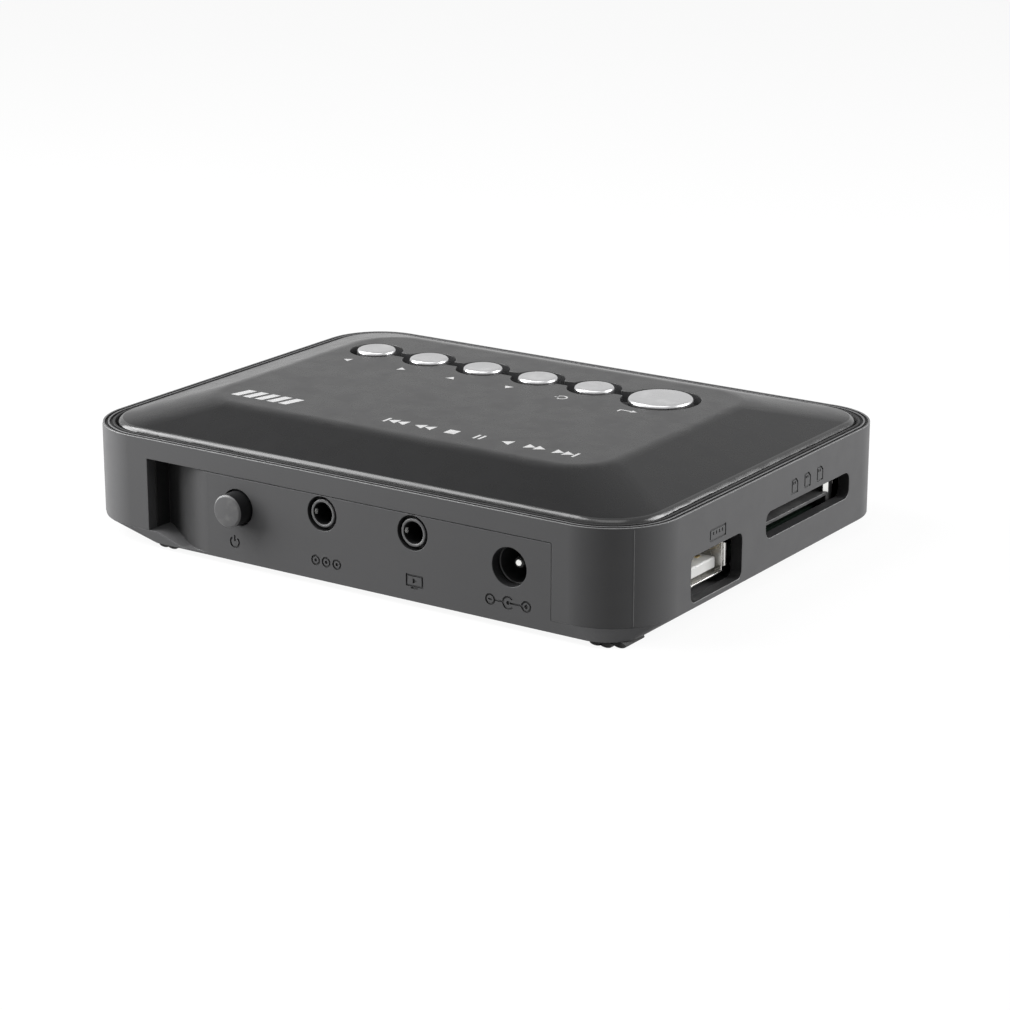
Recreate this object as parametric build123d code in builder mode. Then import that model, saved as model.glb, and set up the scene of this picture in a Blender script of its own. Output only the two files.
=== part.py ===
"""Pocket media player: wall frame, hipped key cover, tray with the rear panel, boards, sockets and keys."""
import os

from build123d import *

os.makedirs("parts", exist_ok=True)

# Case, in mm: X across, Y from front to rear, Z up, feet on Z = 0
case_width = 110.0
case_depth = 81.6
rear_radius = 12.0
front_radius = 10.5
wall_height = 15.7
foot_height = 0.95
tray_thickness = 1.95
button_proud = 2.8

# Rim and seat of the cover
rim_width = 2.05
rim_gap = 0.4
ledge_width = 2.15
ledge_thickness = 1.2
seat_depth = 2.0
groove_inset = 0.35
groove_width = 0.5
groove_pitch = 0.8
groove_count = 2
groove_depth = 0.4

# Cover
lip_rise = 0.3
cover_rise = 4.4
cover_wall = 1.6
cover_drop = 1.2
deck_thickness = 2.9
deck_side_inset = 16.0
deck_front_inset = 16.3
deck_rear_inset = 12.5
deck_radius = 9.0
deck_blend = 8.0
lip_blend = 1.2

# Keys, from the right-hand end of the row to the left
first_key_inset = 22.8
enter_key_inset = 28.8
enter_step = 1.65
key_share = 0.3
enter_share = 0.48
key_inset = 27.5
key_proud = 0.4
key_gap = 1.3
key_clearance = 0.3
key_flange = 1.0
key_flange_thickness = 0.9
key_blend = 0.35
recess_depth = 2.0
neck_width = 2.4
key_names = ("right", "left", "down", "up", "return", "enter")

# Tact switches and the board that carries them
switch_size = 6.0
switch_height = 3.5
switch_stem = 0.8
plunger_radius = 1.7
plunger_depth = 1.5
running_clearance = 0.05
plunger_room = 0.8
key_board_thickness = 1.2
key_board_left_margin = 4.0
key_board_right_margin = 6.3
key_board_half_depth = 9.5
key_screw_share = 0.554
key_screw_right_margin = 3.3
key_screw_offset = 7.5
key_boss_radius = 2.2

# Rear panel of the tray
panel_left_inset = 14.9
panel_right_inset = 15.9
panel_thickness = 1.7
panel_drop = 3.4
panel_seam = 0.12
panel_side_seam = 0.05
scoop_length = 10.6
scoop_depth = 5.4
scoop_blend = 10.0
scoop_floor = 0.35
scoop_ramp_start = 3.8
scoop_ramp_end = 9.0
scoop_end_wall = 1.6
scoop_roof_left_margin = 4.5
scoop_roof_right_margin = 3.9
scoop_roof_depth = 8.0

# Outline of the tray floor
floor_inset_left = 2.8
floor_inset_right = 16.0
floor_inset_front = 4.0
floor_radius_front = 8.0
floor_radius_right = 2.0
floor_radius_left = 6.0
pan_reach = 7.0
pan_gap = 0.25
pan_thickness = 1.0

# Feet
foot_radius = 3.8
foot_rear_inset = 5.05
foot_left_inset = 6.9
foot_front_left_inset = 12.0
foot_right_inset = 18.8
foot_front_inset = 20.0
foot_groove_width = 0.4
foot_groove_depth = 0.45
foot_groove_pitch = 1.8
foot_groove_count = 3

# Case screws and posts
screw_side_inset = 10.5
screw_left_inset = 11.5
screw_right_inset = 15.0
screw_front_left_inset = 36.0
screw_front_right_inset = 16.0
screw_front_inset = 9.5
post_radius = 3.0
post_clearance = 0.6
cup_radius = 4.0
cup_height = 2.05
cup_roof = 1.4
case_head_radius = 2.5
case_head_height = 1.6
case_shank_radius = 1.25
case_shank_length = 9.0
head_clearance = 0.3
hole_clearance = 0.2
thread_clearance = 0.05
slot_width = 0.6
slot_depth = 0.5

# Main board
standoff_height = 1.85
standoff_radius = 2.5
board_thickness = 1.6
board_side_gap = 5.0
board_front_gap = 4.0
board_rear_gap = 2.1
board_front_radius = 8.0
board_rear_radius = 9.0
board_notch_margin = 4.0
board_notch_depth = 9.5
board_head_radius = 1.9
board_head_height = 1.3
small_shank_radius = 0.9
board_shank_depth = 1.7
board_screw_side_inset = 9.0
board_screw_left_gap = 11.2
board_screw_right_offset = 10.0
board_screw_front_inset = 8.0
board_screw_rear_inset = 17.5

# Power button and its switch
button_scoop_gap = 8.35
button_drop = 8.45
button_radius = 2.75
button_clearance = 0.3
button_flange = 0.9
button_flange_thickness = 1.0
button_stem_radius = 2.0
button_stem = 0.9
button_blend = 0.4
button_travel = 2.0
button_margin = 0.7
push_radius = 1.5
push_depth = 3.7
push_body_width = 7.0
push_body_depth = 10.0
push_body_above = 3.5

# Jacks
jack_drop = 6.5
jack_shift = 0.45
jack_hole_radius = 2.85
jack_barrel_radius = 2.3
jack_barrel_setback = 0.2
jack_bore_radius = 1.8
jack_bore_depth = 12.5
jack_body_width = 8.0
jack_body_depth = 12.5
jack_body_above = 3.0
socket_gap = 0.2
contact_gap = 0.06
contact_slot_cut = 0.1
contact_slot_width = 0.9
contact_thickness = 0.4
contact_length = 3.4
contact_play = 0.1
contact_above = 0.9
contact_setback = 6.0

# Power inlet
dc_panel_margin = 7.6
port_gap_count = 3
dc_drop = 8.65
dc_hole_radius = 3.15
dc_setback = 2.0
dc_body_width = 9.0
dc_body_depth = 13.5
dc_body_above = 4.3
dc_bore_radius = 2.95
dc_bore_depth = 9.5
dc_pin_radius = 1.0
dc_pin_setback = 0.1
dc_pin_blend = 0.9

# USB socket, in the left wall
usb_inset = 23.7
usb_window_width = 15.5
usb_window_height = 7.5
usb_rise = 1.15
usb_window_radius = 1.2
usb_setback = 2.8
usb_width = 13.2
usb_height = 6.0
usb_length = 14.0
usb_wall = 0.35
usb_wing_width = 2.2
usb_wing_length = 4.0
usb_wing_thickness = 0.4
usb_notch_gap = 0.4
usb_block_length = 4.0
usb_block_gap = 0.05
tongue_width = 11.1
tongue_thickness = 1.85
tongue_length = 9.3
tongue_drop = 1.2
usb_contact_count = 4
usb_contact_pitch = 2.4
usb_contact_width = 1.0
usb_contact_thickness = 0.2
usb_contact_length = 7.4

# Memory card socket, in the left wall
card_offset = 12.1
card_window_width = 27.9
card_window_height = 4.45
card_drop = 8.54
card_window_radius = 1.5
card_setback = 3.0
card_width = 27.4
card_length = 21.5
card_floor = 0.6
card_rail_width = 1.4
card_room = 2.5
card_cover_thickness = 0.3
card_leg = 2.2
card_flap = 1.6
card_contact_count = 9
card_contact_pitch = 2.5
card_contact_width = 1.1
card_contact_thickness = 0.25
card_contact_length = 7.0
card_contact_setback = 3.0

# Window, receiver and lamp in the front wall
ir_inset = 27.0
ir_drop = 8.4
ir_width = 16.0
ir_height = 6.0
ir_fit = 0.1
ir_flange = 1.0
ir_flange_thickness = 0.8
receiver_offset = 3.5
receiver_width = 6.0
receiver_depth = 4.0
receiver_above = 3.2
receiver_dome = 2.0
sensor_gap = 0.4
led_offset = 4.0
led_radius = 1.5
led_length = 3.2
led_base = 3.4
led_base_depth = 1.6

# Parts soldered to the main board
processor_inset = 47.0
processor_size = 14.0
processor_height = 1.4
sink_size = 15.0
sink_base = 1.5
sink_fin_height = 4.0
sink_fin_width = 1.0
sink_fin_pitch = 2.0
sink_fin_count = 8
memory_inset = 34.8
memory_size = (8.0, 12.5, 1.1)
flash_inset = 23.7
flash_size = (12.0, 18.4, 1.1)
crystal_x = -9.0
crystal_key_gap = 8.7
crystal_size = (11.0, 4.6, 3.5)
inlet_capacitor_offset = 3.0
inlet_capacitor_inset = 20.0
inlet_capacitor_radius = 3.15
inlet_capacitor_height = 7.7
core_capacitor_offset = 10.0
core_capacitor_inset = 30.0
core_capacitor_radius = 2.5
core_capacitor_height = 5.8
capacitor_foot_height = 1.0
capacitor_foot_margin = 0.2
inductor_offset = 3.0
inductor_inset = 27.5
inductor_size = (7.0, 7.0, 4.2)
inductor_radius = 1.6
regulator_offset = 11.5
regulator_inset = 19.5
regulator_size = (6.6, 6.1, 2.3)
regulator_tab = (5.2, 1.2, 0.5)
chip_blend = 0.25

# Link between the two boards
header_x = 6.0
header_key_gap = 7.1
header_count = 6
header_pitch = 2.0
header_width = 2.2
header_height = 2.2
pin_size = 0.6
pin_hole_clearance = 0.1

# Planes and centres that follow from the sizes above
case_y = -button_proud / 2
rear_y = case_y + case_depth / 2
front_y = case_y - case_depth / 2
right_x = case_width / 2
left_x = -right_x
floor_z = foot_height
wall_z = floor_z + tray_thickness
rim_z = wall_z + wall_height
seat_z = rim_z - seat_depth
lip_z = rim_z + lip_rise
deck_z = rim_z + cover_rise
key_top_z = deck_z + key_proud
recess_z = deck_z - recess_depth
under_z = deck_z - deck_thickness
flange_z = under_z - key_flange_thickness
switch_top_z = flange_z - switch_stem
key_board_top_z = switch_top_z - switch_height
key_board_z = key_board_top_z - key_board_thickness
panel_top_z = rim_z - panel_drop
panel_inner_y = rear_y - panel_thickness
board_z = wall_z + standoff_height
board_top_z = board_z + board_thickness
cup_z = wall_z + cup_height
key_y = front_y + key_inset
pan_x = right_x - rear_radius - pan_reach
panel_left = left_x + panel_left_inset
panel_right = right_x - panel_right_inset
scoop_start = panel_right - scoop_length
dc_x = panel_left + dc_panel_margin
button_x = scoop_start - button_scoop_gap
port_pitch = (button_x - dc_x) / port_gap_count
av_jack_x = dc_x + port_pitch + jack_shift
component_jack_x = av_jack_x + port_pitch
board_half_width = right_x - board_side_gap
deck_half_width = right_x - deck_side_inset
ir_x = right_x - ir_inset
receiver_x = ir_x + receiver_offset
led_x = ir_x - led_offset
button_z = rim_z - button_drop
jack_z = rim_z - jack_drop
dc_z = rim_z - dc_drop
usb_y = rear_y - usb_inset
usb_z = board_top_z + usb_rise
card_y = case_y - card_offset
card_z = rim_z - card_drop
ir_z = rim_z - ir_drop
cover_inset = rim_width + rim_gap
header_at = (header_x, key_y + header_key_gap)
jack_back_y = panel_inner_y - socket_gap - jack_body_depth
board_middle_y = (header_at[1] + header_width / 2 + jack_back_y) / 2
processor_at = (right_x - processor_inset, board_middle_y)
memory_at = (right_x - memory_inset, board_middle_y)
flash_at = (right_x - flash_inset, board_middle_y)
crystal_at = (crystal_x, key_y + crystal_key_gap)
inlet_capacitor_at = (dc_x + inlet_capacitor_offset, rear_y - inlet_capacitor_inset)
core_capacitor_at = (dc_x + core_capacitor_offset, rear_y - core_capacitor_inset)
inductor_at = (dc_x + inductor_offset, rear_y - inductor_inset)
regulator_at = (dc_x + regulator_offset, rear_y - regulator_inset)
first_key_x = right_x - first_key_inset
enter_key_x = left_x + enter_key_inset
key_pitch = (first_key_x - enter_key_x - enter_step) / (len(key_names) - 1)
enter_pitch = key_pitch + enter_step
key_radius = key_pitch * key_share
enter_radius = key_pitch * enter_share
key_xs = [first_key_x - key_pitch * step for step in range(len(key_names) - 1)] + [enter_key_x]
key_radii = [key_radius] * (len(key_names) - 1) + [enter_radius]
key_rows = list(zip(key_names, key_xs, key_radii))
key_board_left = enter_key_x - key_board_left_margin
key_board_right = first_key_x + key_board_right_margin
case_screw_points = [
    (left_x + screw_side_inset, rear_y - screw_left_inset),
    (right_x - screw_side_inset, rear_y - screw_right_inset),
    (left_x + screw_front_left_inset, front_y + screw_front_inset),
    (right_x - screw_front_right_inset, front_y + screw_front_inset),
]
board_screw_points = [
    (left_x + board_screw_side_inset, usb_y - board_screw_left_gap),
    (right_x - board_screw_side_inset, case_y - board_screw_right_offset),
    (0, front_y + board_screw_front_inset),
    ((av_jack_x + component_jack_x) / 2, rear_y - board_screw_rear_inset),
]
key_screw_points = [
    (x, key_y + side * key_screw_offset)
    for x in (enter_key_x + key_screw_share * enter_pitch, first_key_x + key_screw_right_margin)
    for side in (-1, 1)
]
foot_points = {
    "rear_left": (left_x + foot_left_inset, rear_y - foot_rear_inset),
    "rear_right": (right_x - foot_right_inset, rear_y - foot_rear_inset),
    "front_left": (left_x + foot_front_left_inset, front_y + foot_front_inset),
    "front_right": (right_x - foot_right_inset, front_y + foot_front_inset),
}


def outline(x_low, x_high, y_low, y_high, height, radii):
    """Rounded rectangle at a height, with corner radii counter-clockwise from the front left corner."""
    corners = ((x_low, y_low), (x_high, y_low), (x_high, y_high), (x_low, y_high))
    with BuildSketch(Plane.XY.offset(height)) as face:
        with BuildLine():
            Polyline(*corners, close=True)
        make_face()
        for corner, radius in zip(corners, radii):
            fillet(face.vertices().sort_by_distance((*corner, 0))[0], radius)
    return face.sketch


def case_outline(inset, height):
    """Outline of the case, moved inwards by an inset."""
    front = front_radius - inset
    rear = rear_radius - inset
    return outline(left_x + inset, right_x - inset, front_y + inset, rear_y - inset, height,
                   (front, front, rear, rear))


def deck_outline(height):
    """Outline of the flat deck of the cover."""
    return outline(-deck_half_width, deck_half_width, front_y + deck_front_inset, rear_y - deck_rear_inset,
                   height, (deck_radius,) * 4)


def rear_plane(x, y, z):
    """Plane that faces the rear, for holes and round parts along Y."""
    return Plane((x, y, z), x_dir=(-1, 0, 0), z_dir=(0, 1, 0))


def left_plane(x, y, z):
    """Plane that faces the left side, for windows in the left wall."""
    return Plane((x, y, z), x_dir=(0, -1, 0), z_dir=(-1, 0, 0))


def block(x_low, x_high, y_low, y_high, z_low, z_high, mode=Mode.ADD):
    """Box between two corners."""
    with Locations(((x_low + x_high) / 2, (y_low + y_high) / 2, (z_low + z_high) / 2)):
        Box(x_high - x_low, y_high - y_low, z_high - z_low, mode=mode)


# Wall frame with the rim, the cover seat and the windows
with BuildPart() as upper_housing:
    extrude(case_outline(0, wall_z), amount=wall_height)
    extrude(case_outline(rim_width, wall_z), amount=wall_height, mode=Mode.SUBTRACT)
    extrude(case_outline(rim_width, seat_z - ledge_thickness), amount=ledge_thickness)
    extrude(case_outline(rim_width + ledge_width, seat_z - ledge_thickness), amount=ledge_thickness,
            mode=Mode.SUBTRACT)
    block(scoop_start - scoop_roof_left_margin, panel_right + scoop_roof_right_margin,
          rear_y - scoop_roof_depth, rear_y - rim_width, seat_z - ledge_thickness, seat_z)
    for step in range(groove_count):
        inset = groove_inset + groove_pitch * step
        groove_ring = case_outline(inset, rim_z - groove_depth)
        extrude(groove_ring - case_outline(inset + groove_width, rim_z - groove_depth), amount=groove_depth,
                mode=Mode.SUBTRACT)
    block(panel_left, panel_right, panel_inner_y - rim_width, rear_y + rim_width, wall_z, panel_top_z,
          mode=Mode.SUBTRACT)
    with BuildSketch(left_plane(left_x, usb_y, usb_z)):
        RectangleRounded(usb_window_width, usb_window_height, usb_window_radius)
    extrude(amount=-rim_width, mode=Mode.SUBTRACT)
    with BuildSketch(left_plane(left_x, card_y, card_z)):
        RectangleRounded(card_window_width, card_window_height, card_window_radius)
    extrude(amount=-rim_width, mode=Mode.SUBTRACT)
    block(ir_x - ir_width / 2, ir_x + ir_width / 2, front_y, front_y + rim_width, ir_z - ir_height / 2,
          ir_z + ir_height / 2, mode=Mode.SUBTRACT)
upper_housing.part.label = "upper_housing"
export_step(upper_housing.part, "parts/upper_housing.step")

# Hipped cover with the linked key recesses, the posts for the case and the bosses for the key board
with BuildPart() as top_cover:
    loft(sections=[case_outline(cover_inset, lip_z), deck_outline(deck_z)], ruled=True)
    fillet(top_cover.faces().sort_by(Axis.Z)[-1].edges(), deck_blend)
    extrude(case_outline(cover_inset, seat_z), amount=lip_z - seat_z)
    fillet(top_cover.edges().filter_by_position(Axis.Z, lip_z, lip_z), lip_blend)
    extrude(case_outline(cover_inset + cover_wall, seat_z), amount=rim_z - cover_drop - seat_z,
            mode=Mode.SUBTRACT)
    loft(sections=[case_outline(cover_inset + cover_wall, rim_z - cover_drop), deck_outline(under_z)],
         ruled=True, mode=Mode.SUBTRACT)
    with BuildSketch(Plane.XY.offset(recess_z)):
        for key_name, key_x, radius in key_rows:
            with Locations((key_x, key_y)):
                Circle(radius + key_gap)
        for near_x, far_x in zip(key_xs[:-1], key_xs[1:]):
            with Locations(((near_x + far_x) / 2, key_y)):
                Rectangle(near_x - far_x, neck_width)
    extrude(amount=cover_rise, mode=Mode.SUBTRACT)
    with BuildSketch(Plane.XY.offset(under_z)):
        for key_name, key_x, radius in key_rows:
            with Locations((key_x, key_y)):
                Circle(radius + key_clearance)
    extrude(amount=cover_rise, mode=Mode.SUBTRACT)
    with BuildSketch(Plane.XY.offset(key_board_top_z)):
        with Locations(*key_screw_points):
            Circle(key_boss_radius)
    extrude(amount=under_z - key_board_top_z)
    with BuildSketch(Plane.XY.offset(cup_z)):
        with Locations(*case_screw_points):
            Circle(post_radius)
    extrude(until=Until.NEXT)
    with BuildSketch(Plane.XY.offset(key_board_top_z)):
        with Locations(*key_screw_points):
            Circle(small_shank_radius + thread_clearance)
    extrude(amount=board_shank_depth + key_blend, mode=Mode.SUBTRACT)
    with BuildSketch(Plane.XY.offset(cup_z)):
        with Locations(*case_screw_points):
            Circle(case_shank_radius + thread_clearance)
    extrude(amount=case_shank_length, mode=Mode.SUBTRACT)
top_cover.part.label = "top_cover"
export_step(top_cover.part, "parts/top_cover.step")

# Tray: tapered floor, flush rear panel with the finger scoop, cups for the screws, board standoffs
scoop_points = ((scoop_start, rear_y), (panel_right, rear_y - scoop_depth))
with BuildPart() as bottom_tray:
    floor_outline = outline(left_x + floor_inset_left, right_x - floor_inset_right,
                            front_y + floor_inset_front, rear_y, floor_z,
                            (floor_radius_front, floor_radius_front, floor_radius_right, floor_radius_left))
    loft(sections=[floor_outline, case_outline(0, wall_z)], ruled=True)
    with BuildSketch(Plane.XY.offset(wall_z)) as panel_plan:
        with BuildLine():
            Polyline((panel_left + panel_side_seam, rear_y), *scoop_points,
                     (panel_right, rear_y - scoop_depth - panel_thickness),
                     (scoop_start, panel_inner_y), (panel_left + panel_side_seam, panel_inner_y), close=True)
        make_face()
        fillet(panel_plan.vertices().sort_by_distance((scoop_start, rear_y, 0))[0], scoop_blend)
        fillet(panel_plan.vertices().sort_by_distance((scoop_start, panel_inner_y, 0))[0], scoop_blend)
    extrude(amount=panel_top_z - panel_seam - wall_z)
    block(panel_right - scoop_end_wall, panel_right + scoop_end_wall, rear_y - scoop_depth - panel_thickness,
          rear_y - scoop_depth, wall_z, panel_top_z - panel_seam)
    block(panel_right, panel_right + scoop_end_wall, rear_y - scoop_depth - panel_thickness,
          rear_y - rim_width - panel_seam, wall_z, panel_top_z - panel_seam)
    extrude(outline(pan_x, right_x - rim_width - pan_gap, front_y + rim_width + pan_gap,
                    rear_y - scoop_depth, wall_z, (post_radius, front_radius, rear_radius, post_radius)),
            amount=pan_thickness)
    with BuildPart(mode=Mode.PRIVATE) as scoop_cut:
        with BuildSketch(Plane.XY.offset(floor_z)) as scoop_plan:
            with BuildLine():
                Polyline((scoop_start - scoop_blend, rear_y), *scoop_points,
                         (panel_right, rear_y + rim_width),
                         (scoop_start - scoop_blend, rear_y + rim_width), close=True)
            make_face()
            fillet(scoop_plan.vertices().sort_by_distance((scoop_start, rear_y, floor_z))[0], scoop_blend)
        extrude(amount=tray_thickness)
        with BuildSketch(Plane.XZ.offset(-rear_y - rim_width)):
            with BuildLine():
                Polyline((scoop_start - scoop_blend, floor_z + scoop_floor),
                         (scoop_start + scoop_ramp_start, floor_z + scoop_floor),
                         (scoop_start + scoop_ramp_end, wall_z),
                         (scoop_start - scoop_blend, wall_z), close=True)
            make_face()
        extrude(amount=case_depth, mode=Mode.INTERSECT)
    add(scoop_cut.part, mode=Mode.SUBTRACT)
    with BuildSketch(Plane.XY.offset(wall_z)):
        with Locations(*case_screw_points):
            Circle(cup_radius)
    extrude(amount=cup_height)
    with BuildSketch(Plane.XY.offset(wall_z)):
        with Locations(*board_screw_points):
            Circle(standoff_radius)
    extrude(amount=standoff_height)
    with BuildSketch(Plane.XY.offset(floor_z)):
        with Locations(*case_screw_points):
            Circle(case_head_radius + head_clearance)
    extrude(amount=cup_z - cup_roof - floor_z, mode=Mode.SUBTRACT)
    with BuildSketch(Plane.XY.offset(floor_z)):
        with Locations(*case_screw_points):
            Circle(case_shank_radius + hole_clearance)
    extrude(amount=cup_z - floor_z, mode=Mode.SUBTRACT)
    with BuildSketch(Plane.XY.offset(board_z - board_shank_depth)):
        with Locations(*board_screw_points):
            Circle(small_shank_radius + thread_clearance)
    extrude(amount=board_shank_depth, mode=Mode.SUBTRACT)
    for hole_x, hole_z, hole_radius in (
        (button_x, button_z, button_radius + button_clearance),
        (component_jack_x, jack_z, jack_hole_radius),
        (av_jack_x, jack_z, jack_hole_radius),
        (dc_x, dc_z, dc_hole_radius),
    ):
        with BuildSketch(rear_plane(hole_x, rear_y, hole_z)):
            Circle(hole_radius)
        extrude(amount=-panel_thickness, mode=Mode.SUBTRACT)
bottom_tray.part.label = "bottom_tray"
export_step(bottom_tray.part, "parts/bottom_tray.step")

# Ribbed feet
for foot_name, foot_point in foot_points.items():
    with BuildPart() as foot:
        with BuildSketch():
            with Locations(foot_point):
                Circle(foot_radius)
        extrude(amount=foot_height)
        with Locations((*foot_point, 0)):
            with GridLocations(foot_groove_pitch, foot_radius, foot_groove_count, 1):
                Box(foot_groove_width, foot_radius * 2, foot_groove_depth * 2, mode=Mode.SUBTRACT)
    foot.part.label = f"foot_{foot_name}"
    export_step(foot.part, f"parts/foot_{foot_name}.step")


def screws(points, seat, head_radius, head_height, shank_radius, shank_length, facing):
    """Pan-head screws at several points; the head lies on the far side of the seat from the shank."""
    with BuildPart() as group:
        with BuildSketch(Plane.XY.offset(seat)):
            with Locations(*points):
                Circle(head_radius)
        extrude(amount=head_height, dir=(0, 0, -facing))
        with BuildSketch(Plane.XY.offset(seat)):
            with Locations(*points):
                Circle(shank_radius)
        extrude(amount=shank_length, dir=(0, 0, facing))
        with Locations(*[(x, y, seat - facing * head_height) for x, y in points]):
            Box(head_radius * 2, slot_width, slot_depth * 2, mode=Mode.SUBTRACT)
            Box(slot_width, head_radius * 2, slot_depth * 2, mode=Mode.SUBTRACT)
    return group.part


case_screws = screws(case_screw_points, cup_z - cup_roof, case_head_radius, case_head_height,
                     case_shank_radius, cup_roof + case_shank_length - key_blend, 1)
case_screws.label = "case_screws"
export_step(case_screws, "parts/case_screws.step")

board_screws = screws(board_screw_points, board_top_z, board_head_radius, board_head_height,
                      small_shank_radius, board_thickness + board_shank_depth - running_clearance, -1)
board_screws.label = "board_screws"
export_step(board_screws, "parts/board_screws.step")

key_board_screws = screws(key_screw_points, key_board_z, board_head_radius, board_head_height,
                          small_shank_radius, key_board_thickness + board_shank_depth, 1)
key_board_screws.label = "key_board_screws"
export_step(key_board_screws, "parts/key_board_screws.step")

# Main board
with BuildPart() as main_board:
    extrude(outline(-board_half_width, board_half_width, front_y + board_front_gap, rear_y - board_rear_gap,
                    board_z, (board_front_radius, board_front_radius, board_rear_radius, board_rear_radius)),
            amount=board_thickness)
    block(scoop_start - board_notch_margin, board_half_width, rear_y - board_notch_depth, rear_y,
          board_z, board_top_z, mode=Mode.SUBTRACT)
    block(-board_half_width, left_x + usb_setback + usb_length + usb_notch_gap,
          usb_y - usb_width / 2 - usb_notch_gap, usb_y + usb_width / 2 + usb_notch_gap, board_z, board_top_z,
          mode=Mode.SUBTRACT)
    with BuildSketch(Plane.XY.offset(board_z)):
        with Locations(*case_screw_points):
            Circle(cup_radius + post_clearance)
        with Locations(*board_screw_points):
            Circle(small_shank_radius + hole_clearance)
    extrude(amount=board_thickness, mode=Mode.SUBTRACT)
main_board.part.label = "main_board"
export_step(main_board.part, "parts/main_board.step")

# Key board
pin_points = [(header_at[0] + header_pitch * (step - (header_count - 1) / 2), header_at[1])
              for step in range(header_count)]
with BuildPart() as key_board:
    block(key_board_left, key_board_right, key_y - key_board_half_depth, key_y + key_board_half_depth,
          key_board_z, key_board_top_z)
    with BuildSketch(Plane.XY.offset(key_board_z)):
        with Locations(*key_screw_points):
            Circle(small_shank_radius + hole_clearance)
        with Locations(*pin_points):
            Rectangle(pin_size + pin_hole_clearance * 2, pin_size + pin_hole_clearance * 2)
    extrude(amount=key_board_thickness, mode=Mode.SUBTRACT)
key_board.part.label = "key_board"
export_step(key_board.part, "parts/key_board.step")

# Keys, each with its switch and the plunger between them
for key_name, key_x, radius in key_rows:
    with BuildPart() as key:
        with BuildSketch(Plane.XY.offset(flange_z)):
            with Locations((key_x, key_y)):
                Circle(radius + key_flange)
        extrude(amount=key_flange_thickness)
        with BuildSketch(Plane.XY.offset(under_z)):
            with Locations((key_x, key_y)):
                Circle(radius)
        extrude(amount=key_top_z - under_z)
        fillet(key.faces().sort_by(Axis.Z)[-1].edges(), key_blend)
    key.part.label = f"key_{key_name}"
    export_step(key.part, f"parts/key_{key_name}.step")

    with BuildPart() as switch_plunger:
        with BuildSketch(Plane.XY.offset(switch_top_z - plunger_depth)):
            with Locations((key_x, key_y)):
                Circle(plunger_radius)
        extrude(amount=plunger_depth + switch_stem)
    switch_plunger.part.label = f"switch_plunger_{key_name}"
    export_step(switch_plunger.part, f"parts/switch_plunger_{key_name}.step")

    with BuildPart() as key_switch:
        block(key_x - switch_size / 2, key_x + switch_size / 2, key_y - switch_size / 2,
              key_y + switch_size / 2, key_board_top_z, switch_top_z)
        with BuildSketch(Plane.XY.offset(switch_top_z)):
            with Locations((key_x, key_y)):
                Circle(plunger_radius + running_clearance)
        extrude(amount=-plunger_depth - plunger_room, mode=Mode.SUBTRACT)
    key_switch.part.label = f"key_switch_{key_name}"
    export_step(key_switch.part, f"parts/key_switch_{key_name}.step")

# Link between the boards
with BuildPart() as header_body:
    block(pin_points[0][0] - header_pitch / 2, pin_points[-1][0] + header_pitch / 2,
          header_at[1] - header_width / 2, header_at[1] + header_width / 2,
          board_top_z, board_top_z + header_height)
    with BuildSketch(Plane.XY.offset(board_top_z)):
        with Locations(*pin_points):
            Rectangle(pin_size, pin_size)
    extrude(amount=header_height, mode=Mode.SUBTRACT)
header_body.part.label = "header_body"
export_step(header_body.part, "parts/header_body.step")

with BuildPart() as header_pins:
    with BuildSketch(Plane.XY.offset(board_top_z)):
        with Locations(*pin_points):
            Rectangle(pin_size, pin_size)
    extrude(amount=key_board_top_z - board_top_z)
header_pins.part.label = "header_pins"
export_step(header_pins.part, "parts/header_pins.step")

# Power button, its plunger and its switch
stem_y = panel_inner_y - button_flange_thickness - button_stem
push_front_y = stem_y - button_travel - button_margin
with BuildPart() as power_button:
    with BuildSketch(rear_plane(button_x, panel_inner_y, button_z)):
        Circle(button_radius)
    extrude(amount=panel_thickness + button_proud)
    fillet(power_button.faces().sort_by(Axis.Y)[-1].edges(), button_blend)
    with BuildSketch(rear_plane(button_x, panel_inner_y, button_z)):
        Circle(button_radius + button_flange)
    extrude(amount=-button_flange_thickness)
    with BuildSketch(rear_plane(button_x, panel_inner_y - button_flange_thickness, button_z)):
        Circle(button_stem_radius)
    extrude(amount=-button_stem)
power_button.part.label = "power_button"
export_step(power_button.part, "parts/power_button.step")

with BuildPart() as power_switch_plunger:
    with BuildSketch(rear_plane(button_x, stem_y, button_z)):
        Circle(push_radius)
    extrude(amount=push_front_y - push_depth - stem_y)
power_switch_plunger.part.label = "power_switch_plunger"
export_step(power_switch_plunger.part, "parts/power_switch_plunger.step")

with BuildPart() as power_switch_body:
    block(button_x - push_body_width / 2, button_x + push_body_width / 2, push_front_y - push_body_depth,
          push_front_y, board_top_z, button_z + push_body_above)
    with BuildSketch(rear_plane(button_x, push_front_y, button_z)):
        Circle(push_radius + running_clearance)
    extrude(amount=-push_depth - button_travel - button_margin, mode=Mode.SUBTRACT)
power_switch_body.part.label = "power_switch_body"
export_step(power_switch_body.part, "parts/power_switch_body.step")

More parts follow.
